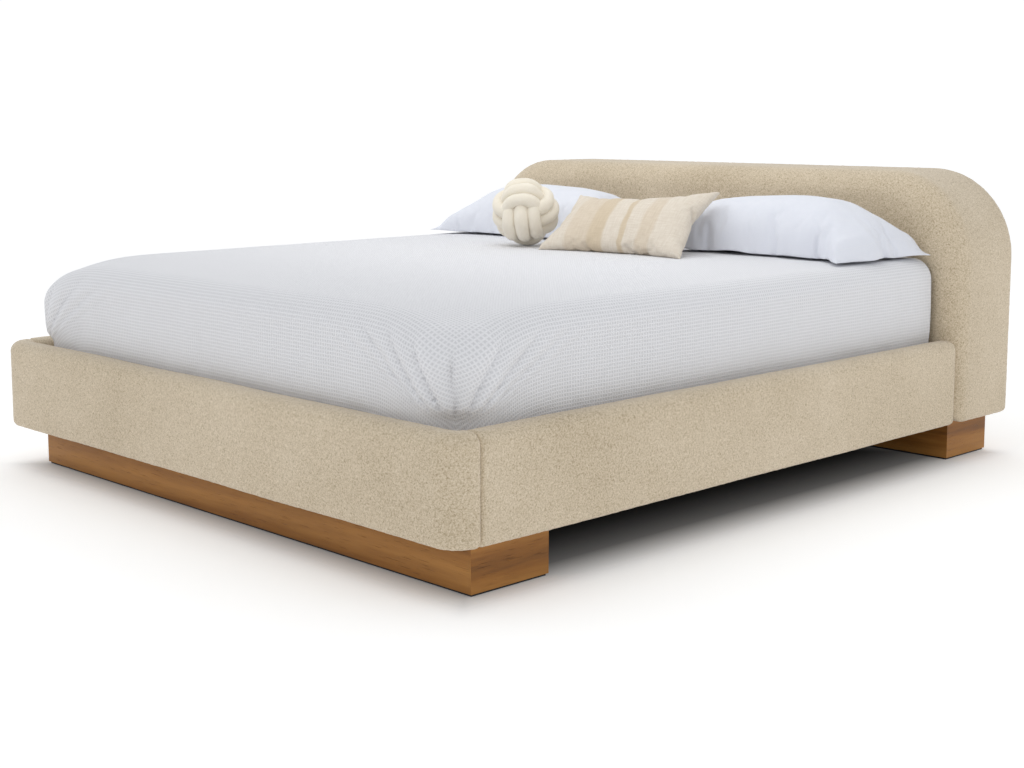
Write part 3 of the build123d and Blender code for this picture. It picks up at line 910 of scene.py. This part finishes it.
# %% The mattress block and its tapes
def rounded_plan(half_x, low_y, high_y, radius, step, arc_steps=14):
    """Points round a rectangle with rounded corners, anticlockwise from its right side."""
    ring = []
    corners = ((half_x - radius, high_y - radius, 0), (-half_x + radius, high_y - radius, 90),
               (-half_x + radius, low_y + radius, 180), (half_x - radius, low_y + radius, 270))
    for number, (x, y, start) in enumerate(corners):
        ring += [(x + radius * cos(radians(start + 90 * t / arc_steps)),
                  y + radius * sin(radians(start + 90 * t / arc_steps)))
                 for t in range(arc_steps + 1)]
        after = corners[(number + 1) % 4]
        first = ring[-1]
        far = (after[0] + radius * cos(radians(after[2])),
               after[1] + radius * sin(radians(after[2])))
        runs = max(1, round(hypot(far[0] - first[0], far[1] - first[1]) / step))
        ring += [(first[0] + (far[0] - first[0]) * t / runs,
                  first[1] + (far[1] - first[1]) * t / runs) for t in range(1, runs)]
    return ring


def shrunk_ring(outer, inset, half_x, low_y, high_y, radius):
    """A plan ring moved in: round its corners first, then along its straight sides."""
    outer = np.asarray(outer)
    hold_x, hold_low, hold_high = half_x - radius, low_y + radius, high_y - radius
    anchor = np.c_[np.clip(outer[:, 0], -hold_x, hold_x),
                   np.clip(outer[:, 1], hold_low, hold_high)]
    arm = (outer - anchor) / radius
    deep = max(inset - radius, 0.0)
    reach = max(hold_x - deep, 0.0)
    anchor[:, 0] = np.clip(anchor[:, 0], -reach, reach)
    anchor[:, 1] = np.clip(anchor[:, 1], hold_low + deep, hold_high - deep)
    return anchor + arm * max(radius - inset, 0.0)


mattress_half = mattress_high.x
plan_radius = 0.12
crease = 0.062
tuck_height = rail_high.z


def corner_drop(points):
    """How far the two foot corners of the mattress sag, for each point."""
    points = np.asarray(points)
    away = np.hypot(np.abs(points[:, 0]) - mattress_half, points[:, 1] - mattress_low.y)
    lift = np.clip((points[:, 2] - tuck_height) / (mattress_high.z - tuck_height), 0, 1)
    return 0.052 * np.exp(-(away / 0.17) ** 2) * lift


low_edge, top_edge = 0.022, crease - 0.003
mattress_levels = []
for step in range(9):
    angle = pi / 2 * step / 8
    mattress_levels.append((low_edge * (1 - sin(angle)),
                            mattress_low.z + low_edge * (1 - cos(angle))))
border = mattress_high.z - mattress_low.z - low_edge - top_edge
for step in range(1, 16):
    tuft = 0.0025 * sin(pi * 3 * step / 16) ** 2
    mattress_levels.append((0.003 - tuft, mattress_low.z + low_edge + border * step / 16))
for step in range(15):
    angle = pi / 2 * step / 14
    mattress_levels.append((top_edge * (1 - cos(angle)) + 0.001,
                            mattress_high.z - top_edge * (1 - sin(angle))))
for step in range(1, 25):
    mattress_levels.append((crease + (mattress_half - crease) * step / 24, mattress_high.z))
plan = rounded_plan(mattress_half, mattress_low.y, mattress_high.y, plan_radius, 0.03)
plan_count = len(plan)
mattress_points = np.vstack([
    np.c_[shrunk_ring(plan, inset, mattress_half, mattress_low.y, mattress_high.y, plan_radius),
          np.full(plan_count, height)] for inset, height in mattress_levels])
mattress_points[:, 2] -= corner_drop(mattress_points)
mattress_faces = loft_grid(len(mattress_levels), plan_count, True)
mattress_faces.append(tuple(range(plan_count)))
mattress = face_outwards(new_piece("mattress_block", mattress_points, mattress_faces, ticking))
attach(mattress, "mattress")
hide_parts("mattress")

tape_lines = []
for inset, height in ((0.0065, mattress_low.z + 0.017), (0.022, mattress_high.z - 0.022)):
    plan = rounded_plan(mattress_half - inset, mattress_low.y + inset, mattress_high.y - inset,
                        plan_radius - inset, 0.03)
    line = np.array([(x, y, height) for x, y in plan])
    line[:, 2] -= corner_drop(line)
    tape_lines.append(line)
tape = tube_piece("mattress_tape", tape_lines, 0.005, ticking)
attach(tape, "mattress")
print("mattress", [round(v, 3) for v in mattress_high - mattress_low])

# %% [markdown]
# ## The blanket
#
# A waffle blanket is laid over the mattress and its edges are tucked down between the
# mattress and the rails. At the foot corners the spare cloth is gathered by hand, and the
# folds fan out from where it is pinched. The sheet is built the way it lies: rings run round
# the mattress, down the sides and in over the top, and the head end is cut off straight.
# Each point also remembers where it was on the flat cloth, so that the weave follows it.

# %% Where the blanket lies
lie_gap = 0.0035
blanket_half = mattress_half + lie_gap
blanket_foot = mattress_low.y - lie_gap
blanket_top = mattress_high.z + lie_gap
blanket_end = blanket_high.y
hem_height = blanket_low.z
past_head = 0.7
blanket_corner = plan_radius + lie_gap
blanket_step = 0.0105


def blanket_ring():
    """The ring round the mattress. It runs on past the head end, where it is cut later."""
    return rounded_plan(blanket_half, blanket_foot, blanket_end + past_head, blanket_corner,
                        blanket_step, 22)


drop = blanket_top - hem_height
blanket_levels = []
for step in range(30):
    share = step / 30
    blanket_levels.append((0.0, hem_height + (drop - crease) * share))
for step in range(13):
    angle = pi / 2 * step / 12
    blanket_levels.append((crease * (1 - cos(angle)), blanket_top - crease * (1 - sin(angle))))
top_steps = 74
for step in range(1, top_steps + 1):
    blanket_levels.append((crease + (blanket_half - crease) * step / top_steps, blanket_top))

outer = np.array(blanket_ring())
plan_count = len(outer)
far_end = blanket_end + past_head
inner_x = blanket_half - blanket_corner
inner_low = blanket_foot + blanket_corner
inner_high = far_end - blanket_corner
rings = [np.c_[shrunk_ring(outer, inset, blanket_half, blanket_foot, far_end, blanket_corner),
               np.full(plan_count, height)] for inset, height in blanket_levels]
blanket_points = np.vstack(rings)
print("blanket points", len(blanket_points))

# %% How far each point is from the foot corner, and how far down
heights = blanket_points[:, 2]
outer_ring = np.tile(rings[0][:, :2], (len(blanket_levels), 1))
arm_x = outer_ring[:, 0] - np.clip(outer_ring[:, 0], -inner_x, inner_x)
arm_y = outer_ring[:, 1] - np.clip(outer_ring[:, 1], inner_low, inner_high)
arm_size = np.hypot(arm_x, arm_y)
outward = np.c_[arm_x / arm_size, arm_y / arm_size]
side_sign = np.where(outer_ring[:, 0] < 0, -1.0, 1.0)
foot_front = outer_ring[:, 1] < inner_low
in_corner = foot_front & (np.abs(outer_ring[:, 0]) > inner_x)
turned = np.arctan2(-arm_y, np.abs(arm_x)) - pi / 4
corner_run = np.where(in_corner, turned * blanket_corner, np.where(
    foot_front, pi / 4 * blanket_corner + (inner_x - np.abs(outer_ring[:, 0])),
    -(pi / 4 * blanket_corner + outer_ring[:, 1] - inner_low)))
from_corner = np.abs(corner_run)
profile = np.array(blanket_levels)
steps_down = np.hypot(np.diff(profile[:, 0]), np.diff(profile[:, 1]))
crease_level = int(np.argmax(profile[:, 0] >= crease - 1e-9))
whole_run = np.r_[0, np.cumsum(steps_down)]
fallen = np.repeat(whole_run[crease_level] - whole_run, plan_count)
side_length = whole_run[crease_level]
print("cloth from hem to crease", round(side_length, 3))

# %% The flat cloth: where each point was before the blanket was laid
pulled = np.clip(fallen, 0, None)
pulled = pulled * (1 - 0.33 * np.exp(-(from_corner / 0.14) ** 2))
swing = np.exp(-from_corner / 0.085)
edge_place = np.tile(rings[crease_level][:, :2], (len(blanket_levels), 1))
flat_front = edge_place + np.c_[side_sign * swing * pulled, -pulled]
flat_side = edge_place + np.c_[side_sign * pulled, -swing * pulled]
flat = np.where((corner_run > 0)[:, None], flat_front, flat_side)
flat = np.where((fallen > 0)[:, None], flat, blanket_points[:, :2])

# %% Waves, sags and the gathered corners
# The cloth is free to wave between the tuck and the crease.
hang = np.clip((heights - tuck_height) / (blanket_top - tuck_height), 0, 1)
free = np.sin(pi * hang ** 0.8) ** 0.7
along = np.where(foot_front, outer_ring[:, 0], outer_ring[:, 1])
slow = rumple(np.c_[outer_ring, heights * 0.6], 0.34, 1.0, 4.0)
upright = rumple(np.c_[along * 6.0, heights * 0.8, side_sign], 0.5, 1.0, 9.0)
side_wave = 0.004 + 0.006 * slow + 0.0045 * upright * (1.3 - hang)
# The folds of a corner are close together at the tuck and fan out above it.
spread = 0.035 + 0.21 * hang ** 1.3
fan_place = corner_run / spread
gather = np.exp(-(fan_place / 1.9) ** 2)
fan = np.abs(np.sin(fan_place * 5.2 + 1.6 * slow + 0.5)) ** 0.6
pleats = 0.021 * gather * fan * smooth_step((1 - hang) * 2.6) * smooth_step(hang * 5.0)
push = np.clip(side_wave * free, -0.001, None) + pleats
push = np.where(fallen > 0, push, 0)
blanket_points[:, :2] += outward * push[:, None]
blanket_points[:, 2] -= corner_drop(blanket_points)
# On top there are only slow shallow waves.
inward = np.clip(-fallen, 0, None)
top_wave = rumple(blanket_points * (1, 1, 0), 0.22, 0.0014, 2.0)
crease_wave = np.abs(rumple(blanket_points * (1, 1, 0), 0.30, 0.005, 6.0))
blanket_points[:, 2] += smooth_step(inward / 0.08) * np.abs(top_wave)
blanket_points[:, 2] -= crease_wave * 0.2 * np.exp(-inward / 0.09) * (hang > 0.3)

# %% Cut the head end straight and give the cloth its thickness
blanket_faces = loft_grid(len(blanket_levels), plan_count, True)
blanket = new_piece("waffle_blanket", blanket_points, blanket_faces, waffle_cloth, uv=flat)
work = bmesh.new()
work.from_mesh(blanket.data)
bmesh.ops.bisect_plane(work, geom=work.verts[:] + work.edges[:] + work.faces[:],
                       plane_co=(0, blanket_end, 0), plane_no=(0, 1, 0), clear_outer=True)
bmesh.ops.remove_doubles(work, verts=work.verts, dist=1e-5)
bmesh.ops.recalc_face_normals(work, faces=work.faces)
work.faces.ensure_lookup_table()
top_face = max(work.faces, key=lambda f: f.calc_center_median().z)
if top_face.normal.z < 0:
    bmesh.ops.reverse_faces(work, faces=work.faces)
work.to_mesh(blanket.data)
work.free()
thick = blanket.modifiers.new("cloth", "SOLIDIFY")
thick.thickness = 0.0022
thick.offset = 1.0
settle(blanket)
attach(blanket, "mattress")
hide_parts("blanket")

# %% [markdown]
# ## Pillows and the lumbar cushion
#
# A pillow case is two flat cloths sewn together all round and then stuffed. Each one here
# starts the same way: a flat bag, which a cloth simulation blows up until the stuffing has
# pulled the sides in and left the corners as points. Then it is laid down, so its underside
# goes flat and the open end of the case stays thin.


# %% A flat bag that swells
def flat_bag(name, length, width, columns, rows, material, seed):
    """Two cloths sewn round the edge; also the point numbers of the top and the bottom."""
    across, along = np.meshgrid(np.linspace(-1, 1, rows + 1), np.linspace(-1, 1, columns + 1))
    flat = np.c_[(along * length / 2).ravel(), (across * width / 2).ravel()]
    loft = ((1 - along ** 2) * (1 - across ** 2)).ravel() * 0.008
    count = len(flat)
    upper = np.arange(count).reshape(columns + 1, rows + 1)
    lower = upper.copy()
    inner = upper[1:-1, 1:-1].ravel()
    lower[1:-1, 1:-1] = (count + np.arange(len(inner))).reshape(columns - 1, rows - 1)
    points = np.vstack([np.c_[flat, loft], np.c_[flat[inner], -loft[inner]]])
    points[:, 2] += rumple(points, 0.05, 0.004, seed) * (np.abs(points[:, 2]) > 1e-6)
    faces = []
    for i in range(columns):
        for j in range(rows):
            faces.append((upper[i, j], upper[i + 1, j], upper[i + 1, j + 1], upper[i, j + 1]))
            faces.append((lower[i, j], lower[i, j + 1], lower[i + 1, j + 1], lower[i + 1, j]))
    uv = np.vstack([flat, flat[inner]]) + (length / 2, width / 2)
    return new_piece(name, points, faces, material, uv=uv), upper, lower


def swell(piece, pressure, weight):
    """Let a bag fill out as cloth, with no gravity, and keep the shape it reaches."""
    cloth = piece.modifiers.new("stuffing", "CLOTH")
    cloth.settings.quality = 6
    cloth.settings.mass = weight
    cloth.settings.tension_stiffness = 25
    cloth.settings.compression_stiffness = 25
    cloth.settings.shear_stiffness = 6
    cloth.settings.bending_stiffness = 0.01
    cloth.settings.air_damping = 1.5
    cloth.settings.use_pressure = True
    cloth.settings.uniform_pressure_force = pressure
    cloth.settings.effector_weights.gravity = 0
    cloth.collision_settings.use_collision = False
    last_frame = 26
    cloth.point_cache.frame_start = 1
    cloth.point_cache.frame_end = last_frame
    for frame in range(1, last_frame + 1):
        bpy.context.scene.frame_set(frame)
    settle(piece)
    bpy.context.scene.frame_set(1)


def read_points(piece):
    points = np.empty(len(piece.data.vertices) * 3)
    piece.data.vertices.foreach_get("co", points)
    return points.reshape(-1, 3)


def write_points(piece, points):
    piece.data.vertices.foreach_set("co", np.ascontiguousarray(points).ravel())
    piece.data.update()


def fit_box(points, length, width, thickness):
    """Centre some points and scale them to a length, a width and a thickness."""
    low, high = points.min(0), points.max(0)
    return (points - (low + high) / 2) * (np.array((length, width, thickness)) / (high - low))


def creased(points, size, depth, seed):
    """Sharp-crested folds in the cloth, in metres."""
    soft = rumple(points, size, 1.0, seed)
    fine = rumple(points, size * 0.45, 1.0, seed + 5)
    return (0.35 - np.abs(soft)) * depth + (0.3 - np.abs(fine)) * depth * 0.45


def finer(piece):
    """One step of subdivision, applied."""
    modifier = piece.modifiers.new("finer", "SUBSURF")
    modifier.levels = 1
    modifier.render_levels = 1
    return settle(piece)


# %% The two bed pillows
pillow_lines = {}
pillow_columns, pillow_rows = 76, 42
for side, side_name in ((-1, "left"), (1, "right")):
    low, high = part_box(f"pillow_{side_name}")
    length, width, thickness = high[0] - low[0], high[1] - low[1], high[2] - low[2]
    pillow, upper, lower = flat_bag(f"bed_pillow_{side_name}", length * 1.06, width * 1.12,
                                    pillow_columns, pillow_rows, pillow_cotton, 3.0 + side)
    swell(pillow, 9, 0.0022)
    points = fit_box(read_points(pillow), length, width, thickness)
    # away is 1 at the open end of the case, and back is 1 at its headboard side
    away = points[:, 0] * side / (length / 2)
    back = points[:, 1] / (width / 2)
    tops = points[upper.ravel(), 2]
    bottoms = points[lower.ravel(), 2]
    out = away[upper.ravel()]
    tops = bottoms + thickness * ((tops - bottoms) / thickness) ** np.where(out < 0, 0.58, 0.7)
    fullness = 1 - 0.34 * smooth_step((out - 0.35) / 0.6) - 0.5 * smooth_step((out - 0.86) / 0.12)
    # the underside goes nearly flat, and the folds grow towards the open end
    laid = (bottoms + thickness / 2) * 0.10
    points[lower.ravel(), 2] = laid
    points[upper.ravel(), 2] = laid + (tops - bottoms) * fullness
    folds = creased(points * (0.55, 1.5, 1.0), 0.12, 0.016, 2.0 * side)
    open_top = smooth_step(points[:, 2] / 0.05)
    points[:, 2] += folds * open_top * (0.35 + 0.9 * np.clip(away, 0, 1) ** 2)
    # the stuffing has slid towards the headboard
    points[:, 1] = width * (((back + 1) / 2) ** 0.84 - 0.5)
    height = points[:, 2].max() - points[:, 2].min()
    points[:, 2] = (points[:, 2] - points[:, 2].min()) * (thickness - 0.004) / height
    edge_lift = rumple(points * (1, 1, 0), 0.13, 0.010, 8.0 + side)
    points[:, 2] += np.clip(edge_lift, 0, 1) * (1 - open_top) + 0.002
    # the front corner of the open end lies loose, pulled in and forward
    loose = smooth_step((away - 0.5) / 0.5) * smooth_step((-back - 0.35) / 0.65)
    points[:, :2] += loose[:, None] * (-0.05 * side, -0.05)
    points += ((low[0] + high[0]) / 2, (low[1] + high[1]) / 2, low[2])
    write_points(pillow, points)
    hem_row = int(np.argmin(np.abs(np.linspace(-1, 1, pillow_columns + 1) - side * 0.90)))
    pillow_lines[side_name] = points[upper[hem_row, 2:-2]] + (0, 0, 0.0006)
    finer(pillow)
    face_outwards(pillow)
    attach(pillow, f"pillow_{side_name}")
    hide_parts(f"pillow_{side_name}")
    print(pillow.name, len(pillow.data.polygons), "faces")

# %% The lumbar cushion, leaning on the right pillow
lumbar_low, lumbar_high = (Vector(v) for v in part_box("lumbar_cushion"))
lumbar_size = (0.575, 0.315, 0.10)
lumbar, upper, lower = flat_bag("lumbar_cushion_cover", 0.60, 0.345, 64, 36, lumbar_linen, 1.0)
swell(lumbar, 9, 0.0022)
points = fit_box(read_points(lumbar), *lumbar_size)
half_across = points[:, 1] / (lumbar_size[1] / 2)
folds = creased(points * (1.0, 1.0, 0.5), 0.09, 0.006, 12.0)
rim = np.maximum(np.abs(points[:, 0]) / 0.28, np.abs(points[:, 1]) / 0.155) ** 3
points[:, 2] += folds * np.sign(points[:, 2]) * rim
lumbar_frame = (Matrix.Rotation(radians(34), 3, "X") @ Matrix.Rotation(radians(8), 3, "Z"))
points = points @ np.array(lumbar_frame).T + np.array((lumbar_low + lumbar_high) / 2)
resting = smooth_step((0.15 - half_across) / 0.75)
for column in range(upper.shape[0]):
    ids = np.unique(np.r_[upper[column], lower[column]])
    gap = points[ids, 2].min() - lumbar_low.z + 0.006
    points[ids, 2] -= gap * (0.35 + 0.65 * resting[ids])
write_points(lumbar, points)
lumbar_seam = points[upper[2:-2, 0]]
finer(lumbar)
face_outwards(lumbar)
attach(lumbar, "lumbar")
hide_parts("lumbar_cushion")
print("lumbar spans", [round(v, 3) for v in points.max(0) - points.min(0)],
      "frame", [round(v, 3) for v in lumbar_high - lumbar_low])

# %% [markdown]
# ## The knot cushion
#
# The knot cushion is a monkey's fist tied from one long knitted tube. Three loops run each of
# three ways, and each set of loops lies over the next set and under the last. Inside the ball
# the soft tubes press into each other, so only their outer halves are seen.


# %% Nine loops of knitted tube
def knitted_tube(path, axis, radius, sides, seed):
    """Points, faces and cloth places for a tube round a closed path."""
    count = len(path)
    tangent = np.roll(path, -1, 0) - np.roll(path, 1, 0)
    tangent /= np.linalg.norm(tangent, axis=1)[:, None]
    binormal = np.array(axis) - tangent * (tangent @ np.array(axis))[:, None]
    binormal /= np.linalg.norm(binormal, axis=1)[:, None]
    normal = np.cross(tangent, binormal)
    run = np.r_[0, np.cumsum(np.linalg.norm(np.roll(path, -1, 0) - path, axis=1))]
    rows, places = [], []
    for number in range(count + 1):
        at = number % count
        pinch = 1 + 0.045 * sin(2 * pi * 3 * number / count + seed)
        for side in range(sides + 1):
            angle = 2 * pi * side / sides
            arm = normal[at] * cos(angle) * 0.97 + binormal[at] * sin(angle) * 1.03
            rows.append(path[at] + arm * radius * pinch)
            places.append((side / sides, run[number]))
    return rows, loft_grid(count + 1, sides + 1, False), places


knot_low, knot_high = (Vector(v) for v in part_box("knot_cushion"))
knot_centre = np.array((knot_low + knot_high) / 2)
knot_reach = (knot_high.x - knot_low.x) / 2
strand = knot_reach * 0.195
knot_turn = (Matrix.Rotation(radians(38), 3, "Z") @ Matrix.Rotation(radians(34), 3, "X")
             @ Matrix.Rotation(radians(-6), 3, "Y"))
knot_turn = np.array(knot_turn)
print("knot strand radius", round(strand, 4))

# %% Tie the knot
# The loops waver a little. The wavering is drawn from this seed, so it is the same each run.
knot_seed = 1795107873
noise.seed_set(knot_seed)
knot_points, knot_faces, knot_uv = [], [], []
for group in range(3):
    axis = np.eye(3)[group]
    over = np.eye(3)[(group + 1) % 3]
    under = np.eye(3)[(group + 2) % 3]
    for place in (-1, 0, 1):
        swing = 1 - 0.10 * abs(place)
        turns = np.linspace(0, 2 * pi, 120, endpoint=False)
        c, s = np.cos(turns), np.sin(turns)
        power = 2 / 2.5
        high = (knot_reach - strand) * swing * np.sign(c) * np.abs(c) ** power
        wide = (knot_reach - strand) * 0.66 * swing * np.sign(s) * np.abs(s) ** power
        lean_in = 1 - 0.10 * (1 - np.abs(c))
        path = (axis * (place * strand * 1.86 * lean_in)[:, None]
                + over * high[:, None] + under * wide[:, None])
        path += np.array([noise.noise_vector(Vector(p) / 0.09) for p in path]) * 0.0035
        rows, faces, places = knitted_tube(path, axis, strand, 26, group + place * 2.0)
        shift = len(knot_points)
        knot_faces += [tuple(n + shift for n in face) for face in faces]
        knot_points += [knot_turn @ row + knot_centre for row in rows]
        knot_uv += [(x, y + group * 3 + place) for x, y in places]
knot = new_piece("knot_cushion_tubes", knot_points, knot_faces, knot_knit, uv=knot_uv)
face_outwards(knot)
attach(knot, "knot")
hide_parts("knot_cushion")
print("knot", len(knot.data.polygons), "faces")

# %% [markdown]
# ## Stitching
#
# Hems are sewn with short even stitches. One Geometry Nodes tree lays them: it takes a line
# and sets a small grain of thread at every step, turned along the line.


# %% A tree that lays stitches along a line
def node_tree_for_stitches():
    inputs = {"Line": "Geometry", "Spacing": "Float", "Size": "Vector", "Finish": "Material"}
    tree = new_tree("stitches along a line", inputs, "Stitches")
    nodes = tree.nodes
    given = nodes.new("NodeGroupInput")
    resample = nodes.new("GeometryNodeResampleCurve")
    resample.mode = "LENGTH"
    grain = nodes.new("GeometryNodeMeshIcoSphere")
    grain.inputs["Radius"].default_value = 1.0
    grain.inputs["Subdivisions"].default_value = 2
    shape = nodes.new("GeometryNodeTransform")
    tangent = nodes.new("GeometryNodeInputTangent")
    align = nodes.new("FunctionNodeAlignRotationToVector")
    align.axis = "X"
    vary = nodes.new("FunctionNodeRandomValue")
    vary.data_type = "FLOAT"
    vary.inputs["Min"].default_value = 0.88
    vary.inputs["Max"].default_value = 1.12
    vary.inputs["Seed"].default_value = 7
    lay = nodes.new("GeometryNodeInstanceOnPoints")
    real = nodes.new("GeometryNodeRealizeInstances")
    paint = nodes.new("GeometryNodeSetMaterial")
    out = nodes.new("NodeGroupOutput")
    wire(tree,
         (given, "Line", resample, "Curve"), (given, "Spacing", resample, "Length"),
         (grain, "Mesh", shape, "Geometry"), (given, "Size", shape, "Scale"),
         (tangent, "Tangent", align, "Vector"), (resample, "Curve", lay, "Points"),
         (shape, "Geometry", lay, "Instance"), (align, "Rotation", lay, "Rotation"),
         (vary, 1, lay, "Scale"), (lay, "Instances", real, "Geometry"),
         (real, "Geometry", paint, "Geometry"), (given, "Finish", paint, "Material"),
         (paint, "Geometry", out, "Stitches"))
    return tree


stitch_tree = node_tree_for_stitches()


def stitch_piece(name, lines, spacing, size, material, body):
    """A plain mesh of stitches along lines, riding a body."""
    values = {"Spacing": spacing, "Size": size, "Finish": material}
    piece = grow_along(name, lines, False, stitch_tree, values)
    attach(piece, body)
    return piece


print("stitch tree", len(stitch_tree.nodes), "nodes")

# %% Hems on the pillow cases and the blanket
for side_name, line in pillow_lines.items():
    stitch_piece(f"pillow_hem_{side_name}", [line], 0.0045, (0.0016, 0.0006, 0.0006),
                 white_thread, f"pillow_{side_name}")
blanket_tree = BVHTree.FromPolygons([v.co for v in blanket.data.vertices],
                                    [p.vertices[:] for p in blanket.data.polygons])
hem_lines = []
for inset in (0.014, 0.020):
    line = []
    for x in np.linspace(-0.86, 0.86, 300):
        hit = blanket_tree.ray_cast(Vector((x, blanket_end - inset, 1.0)), Vector((0, 0, -1)))
        line.append(tuple(hit[0] + Vector((0, 0, 0.0004))))
    hem_lines.append(line)
stitch_piece("blanket_hem", hem_lines, 0.005, (0.0018, 0.0007, 0.0005), white_thread,
             "mattress")
print("stitching laid")

# %% [markdown]
# ## Piping round the back cloth
#
# The back of a headboard is closed with a plain cloth. Its edge is turned over a cord, which
# is tacked down over the end of the boucle, so the join is covered and straight.

# %% Back cloth piping
piping_ring = outline(cloth_panel_inset, (60, 6, 16, 24, 50))
piping_line = [(x, board_high.y - 0.0028, z) for x, z in piping_ring]
piping = tube_piece("back_cloth_piping", [piping_line], 0.003, back_cloth, spacing=0.012)
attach(piping, "bed_frame")
print("piping", [round(v, 3) for v in piping.dimensions])
